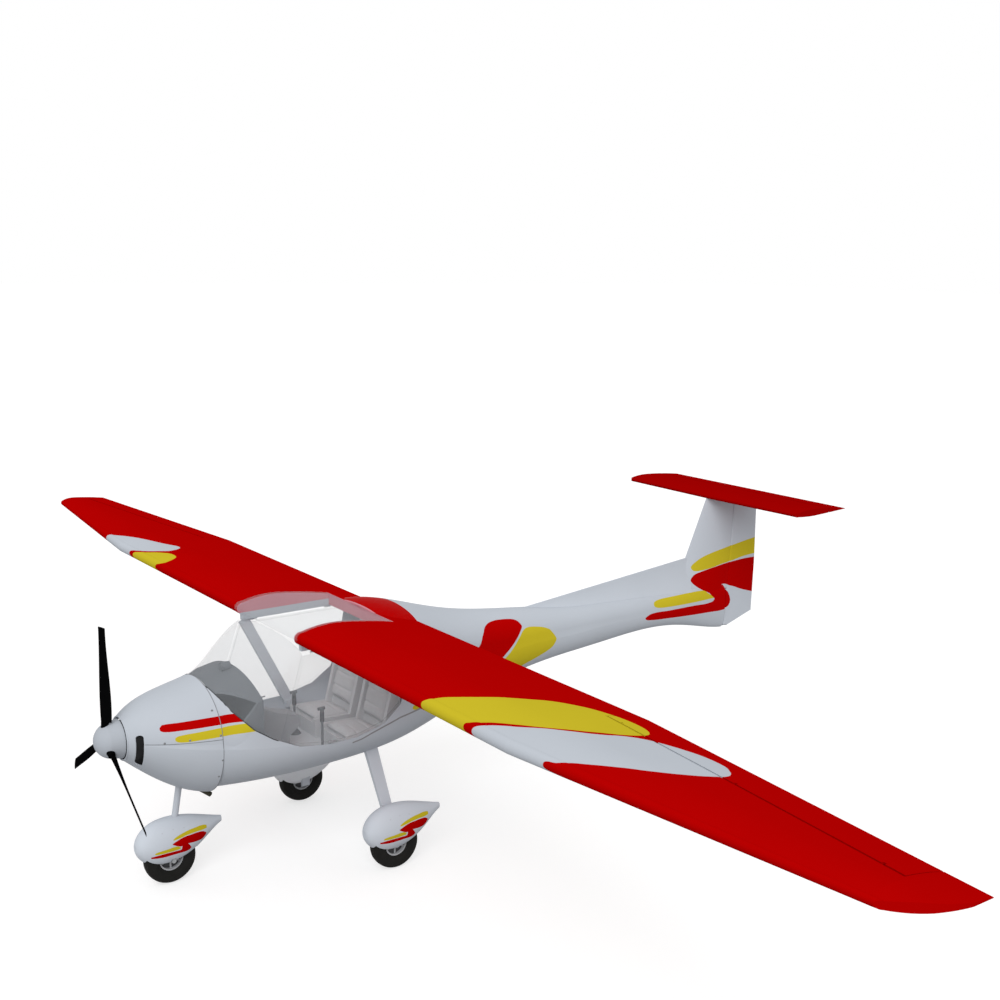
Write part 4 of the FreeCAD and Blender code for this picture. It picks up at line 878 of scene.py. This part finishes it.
# the starboard flashes are cut short, nearer the leading edge
STARBOARD_WHITE = [(-1.860, 2.660, 3.330), (-1.842, 2.628, 3.330), (-1.812, 2.494, 3.326),
                   (-1.801, 2.475, 3.318), (-1.756, 2.376, 3.178), (-1.712, 2.305, 3.013),
                   (-1.652, 2.232, 2.777), (-1.620, 2.226, 2.640), (-1.590, 2.231, 2.519),
                   (-1.560, 2.252, 2.430), (-1.538, 2.276, 2.378), (-1.528, 2.310, 2.340)]
STARBOARD_YELLOW = [(-1.860, 2.080, 2.566), (-1.843, 2.039, 2.550), (-1.819, 1.960, 2.452),
                    (-1.790, 1.950, 2.390), (-1.737, 1.955, 2.290), (-1.700, 1.976, 2.210),
                    (-1.680, 2.004, 2.158), (-1.670, 2.060, 2.100)]
# the middle piece's blunt front, under the roof window, is pale with the same painted light as
# the rails beside it
CENTRE_NOSE = [(-1.130, 1.500, 1.800), (-1.098, 1.500, 1.800)]
for name, yellow, white in (("left", WING_YELLOW, WING_WHITE),
                            ("right", STARBOARD_YELLOW, STARBOARD_WHITE)):
    wing_paint = sprayed("wing_paint_" + name, RED, rough=0.42, shine=0.0)
    flash(wing_paint, YELLOW, "y", "x", yellow)
    flash(wing_paint, WHITE, "y", "x", white)
    dress(wing_paint, "wing_" + name, "aileron_" + name)
centre_paint = sprayed("wing_paint_center", RED, rough=0.42, shine=0.0)
flash(centre_paint, RAIL_PAINTED_LIGHT, "y", "z", CENTRE_NOSE)
dress(centre_paint, "wing_center")

# ---------- fin and rudder
# Glass-fibre skins whose white is lightened a shade by painted light, with the red S and the
# yellow bands carried straight across the rudder's hinge line.
# painted light: the fin and rudder are lifted a shade above the fuselage's white
FIN_PAINTED_LIGHT = 1.08
fin_gelcoat = sprayed("fin_gelcoat", tinted(WHITE, FIN_PAINTED_LIGHT))
for paint, rows in ((YELLOW, FIN_YELLOW), (YELLOW, BOOM_YELLOW), (RED, BOOM_RED), (RED, FIN_RED)):
    flash(fin_gelcoat, paint, "y", "z", rows)
dress(fin_gelcoat, "fin", "rudder")

# ---------- tailplane and elevator
# The T-tail's two surfaces are hollow glass-fibre skins, their red deepened by painted shade.
# The tailplane is bonded on the fin's top, and the elevator hangs on pins along its rear edge.
# painted shade: the tail's red is deepened below the wings' red
TAIL_PAINTED_SHADE = 0.76
dress(sprayed("tail_paint", tinted(RED, TAIL_PAINTED_SHADE), rough=0.42, shine=0.0),
      "tailplane", "elevator")

# ---------- landing-gear legs
# The main legs are sprung blades faired in white, the nose leg a painted steel tube in a
# bracket on the firewall. The fork that holds the nose axle is bare welded steel.
leg_paint = sprayed("leg_paint", (0.52, 0.55, 0.60), rough=0.36, shine=0.1, mottle=0.04,
                    cloud_scale=5.0)
dress(leg_paint, "main_leg_left", "main_leg_right", "nose_leg")
dress(sprayed("bare_steel", (0.30, 0.31, 0.32), rough=0.42, shine=0.5, peel=0.2, mottle=0.12,
              cloud_scale=35.0, metal=0.85), "nose_fork", "nose_leg_bracket")

# ---------- wheel fairings
# Glass-fibre teardrops in a gelcoat lightened by painted light, with a small red S between
# yellow bands on both sides of the nose one and outboard on the main ones. Three screws a side
# hold each.
# each wheel: its axle (across, along), its nodes' names, and the bodies of fairing and wheel
WHEELS = (((0.0, -2.580), "nose_%s", "nose_gear", "nose_wheel"),
          ((0.714, -1.238), "main_%s_left", "airframe", "main_wheel_left"),
          ((-0.714, -1.238), "main_%s_right", "airframe", "main_wheel_right"))
# painted light: the fairings are lifted a shade above the fuselage's white
FAIRING_PAINTED_LIGHT = 1.18
SCREWS = ((-0.075, 0.395), (0.0, 0.405), (0.075, 0.398))
SCREW_R, SCREW_PROUD, SCREW_FEELER = 0.0050, 0.0012, 0.3
# flashes: place along the fairing from the axle, lower edge, upper edge
LOBE_RED = [(-0.016, 0.308, 0.313), (0.005, 0.295, 0.322), (0.036, 0.281, 0.333),
            (0.043, 0.279, 0.335), (0.086, 0.285, 0.341), (0.120, 0.282, 0.341),
            (0.158, 0.277, 0.341), (0.203, 0.276, 0.335), (0.225, 0.287, 0.324),
            (0.239, 0.300, 0.313)]
HOOK_RED = [(-0.156, 0.234, 0.246), (-0.085, 0.228, 0.254), (0.005, 0.230, 0.255),
            (0.044, 0.229, 0.254), (0.050, 0.228, 0.272), (0.055, 0.228, 0.284),
            (0.082, 0.227, 0.287), (0.089, 0.227, 0.286), (0.108, 0.231, 0.268),
            (0.118, 0.240, 0.252), (0.122, 0.244, 0.247)]
LOBE_YELLOW = [(-0.009, 0.334, 0.342), (0.034, 0.338, 0.361), (0.086, 0.346, 0.372),
               (0.111, 0.347, 0.375), (0.159, 0.347, 0.376), (0.196, 0.344, 0.376),
               (0.244, 0.344, 0.364)]
HOOK_YELLOW = [(-0.134, 0.262, 0.264), (-0.121, 0.259, 0.275), (-0.042, 0.259, 0.285),
               (0.000, 0.260, 0.289), (0.034, 0.262, 0.278), (0.040, 0.262, 0.270)]
# the inner half of the starboard fairing, in the body's shade, gets a whiter painted light
STARBOARD_PAINTED_LIGHT = (0.86, 0.88, 0.92)
PAINTED_LIGHT_HALF = [(-0.5, 0.0, 0.6), (0.5, 0.0, 0.6)]
for (axle_x, axle_y), label, body, _ in WHEELS:
    part = label % "pant"
    coat = sprayed(part + "_gelcoat", tinted(WHITE, FAIRING_PAINTED_LIGHT))
    outboard = ("x", "GREATER_THAN" if axle_x > 0 else "LESS_THAN", axle_x) if axle_x else None
    sprays = [(YELLOW, LOBE_YELLOW, outboard), (YELLOW, HOOK_YELLOW, outboard),
              (RED, LOBE_RED, outboard), (RED, HOOK_RED, outboard)]
    if axle_x < 0:
        sprays.insert(0, (STARBOARD_PAINTED_LIGHT, PAINTED_LIGHT_HALF, ("x", "GREATER_THAN", axle_x)))
    for paint, rows, only in sprays:
        flash(coat, paint, "y", "z", [(axle_y + a, low, high) for a, low, high in rows], only)
    dress(coat, part)
    screws = bmesh.new()
    for side in (1, -1):
        for ahead, height in SCREWS:
            start = (axle_x + side * SCREW_FEELER, axle_y + ahead, height)
            add_stud(screws, stand_on(*skin((part,), start, (-side, 0, 0))), SCREW_R, SCREW_PROUD)
    settle(screws, part + "_screws", leg_paint, body, smooth=False)

# ---------- tyres
# Black rubber with a rounded shoulder, a rim-guard bead and five tread ribs between grooves.
# Each is moulded in one, so it is turned from one profile.
TYRE_R, BEAD_R = 0.175, 0.0845
AXLE_HIGH = 0.175
TURNED = 72
SHOULDER, CROWN_DROP, CROWN_BEND = 0.044, 0.0085, 2.4
TREAD_EDGE = 0.038
GROOVES = (-0.028, -0.0095, 0.0095, 0.028)
GROOVE_HALF, GROOVE_DEEP, GROOVE_LIP = 0.0017, 0.0045, 0.0005
# one side wall, from the bead out, as (across, radius)
WALL = [(-0.0365, BEAD_R), (-0.0450, 0.0880), (-0.0462, 0.0940), (-0.0455, 0.0965),
        (-0.0500, 0.1010), (-0.0526, 0.1120), (-0.0530, 0.1230), (-0.0522, 0.1380),
        (-0.0500, 0.1510), (-0.0472, 0.1600)]
tyre_rubber = sprayed("tyre_rubber", (0.013, 0.013, 0.012), rough=0.75, shine=0.08, peel=0.6,
                      peel_scale=420.0, mottle=0.25, cloud_scale=16.0)


def crown(x):
    """A place across the tread with its radius there, which falls off to the shoulders."""
    return x, TYRE_R - CROWN_DROP * (abs(x) / SHOULDER) ** CROWN_BEND


def turn_on(bm, axle, profile):
    """Turns a closed (across, radius) profile about an axle."""
    rings = [[bm.verts.new((axle[0] + x, axle[1] + r * d, AXLE_HIGH + r * c)) for x, r in profile]
             for c, d in circle(TURNED)]
    join(bm, rings + rings[:1])


tread = [crown(-SHOULDER), crown(-TREAD_EDGE)]
for x in GROOVES:
    radius = crown(x)[1]
    tread += [(x - GROOVE_HALF - GROOVE_LIP, radius), (x - GROOVE_HALF, radius - GROOVE_DEEP),
              (x + GROOVE_HALF, radius - GROOVE_DEEP), (x + GROOVE_HALF + GROOVE_LIP, radius)]
tread += [crown(TREAD_EDGE), crown(SHOULDER)]
for axle, label, _, body in WHEELS:
    tyre = bmesh.new()
    turn_on(tyre, axle, WALL + tread + [(-x, r) for x, r in reversed(WALL)])
    part = label % "tyre"
    piece = settle(tyre, part + "_tread", tyre_rubber, body)
    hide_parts(part)

# ---------- rims
# Cast rims painted light grey. On each side a dark steel disc, painted shade for the gaps between
# the spokes, covers the web, and a cast star of six spokes is clamped over it by six plated bolts
# near the hub.
WEB_HALF = 0.0080
DISC_THICK, DISC_INNER, DISC_OUTER = 0.0030, 0.0290, 0.0735
# the disc's section: rise as a share of its thickness, radius
DISC = ((0.05, DISC_INNER), (0.05, DISC_OUTER), (0.9, DISC_OUTER), (1.0, DISC_OUTER - 0.0005),
        (1.0, DISC_INNER + 0.0005), (0.9, DISC_INNER))
SPOKES = 6
SPOKE_SIZE = (DISC_OUTER - DISC_INNER + 0.004, 0.0120, 0.0050)
SPOKE_MIDDLE = (DISC_INNER + DISC_OUTER) / 2
SPOKE_FOOT = WEB_HALF + DISC_THICK - 0.0003
BOLT_CIRCLE, BOLT_R = 0.0340, 0.0040
BOLT_FOOT = WEB_HALF + DISC_THICK + SPOKE_SIZE[2] - 0.0005
BOLT = ((BOLT_R * 1.4, -0.0005), (BOLT_R * 1.4, 0.0010), (BOLT_R, 0.0012), (BOLT_R, 0.0040),
        (BOLT_R * 0.8, 0.0048))
rim_grey = sprayed("rim_grey", (0.42, 0.43, 0.45), rough=0.42, shine=0.1, peel=0.12,
                   peel_scale=380.0, mottle=0.08, cloud_scale=20.0)
# painted shade: the discs are near black, so the gaps between the spokes read dark
disc_painted_shade = sprayed("disc_painted_shade", (0.055, 0.056, 0.060), rough=0.5, shine=0.1, peel=0.2,
                     mottle=0.15, cloud_scale=60.0, metal=0.2)
bolt_plate = sprayed("bolt_plate", (0.30, 0.29, 0.26), rough=0.45, shine=0.2, peel=0.05,
                     mottle=0.10, cloud_scale=90.0, metal=0.3)
for axle, label, _, body in WHEELS:
    part = label % "rim"
    dress(rim_grey, part)
    discs, spokes, bolts = bmesh.new(), bmesh.new(), bmesh.new()
    for side in (1, -1):
        turn_on(discs, axle, [(side * (WEB_HALF + rise * DISC_THICK), r) for rise, r in DISC])
        for step in range(SPOKES):
            hub = (Matrix.Translation((*axle, AXLE_HIGH))
                   @ Matrix.Rotation(step * math.tau / SPOKES, 4, "X")
                   @ Matrix.Rotation(side * math.pi / 2, 4, "Y"))
            add_bar(spokes, hub @ Matrix.Translation((-side * SPOKE_MIDDLE, 0, SPOKE_FOOT)),
                    *SPOKE_SIZE, nip=1.0)
            add_round(bolts, hub @ Matrix.Translation((-side * BOLT_CIRCLE, 0, BOLT_FOOT)),
                      BOLT, sides=6)
    settle(discs, part + "_discs", disc_painted_shade, body, smooth=False)
    settle(spokes, part + "_spokes", rim_grey, body, smooth=False)
    settle(bolts, part + "_bolts", bolt_plate, body, smooth=False)
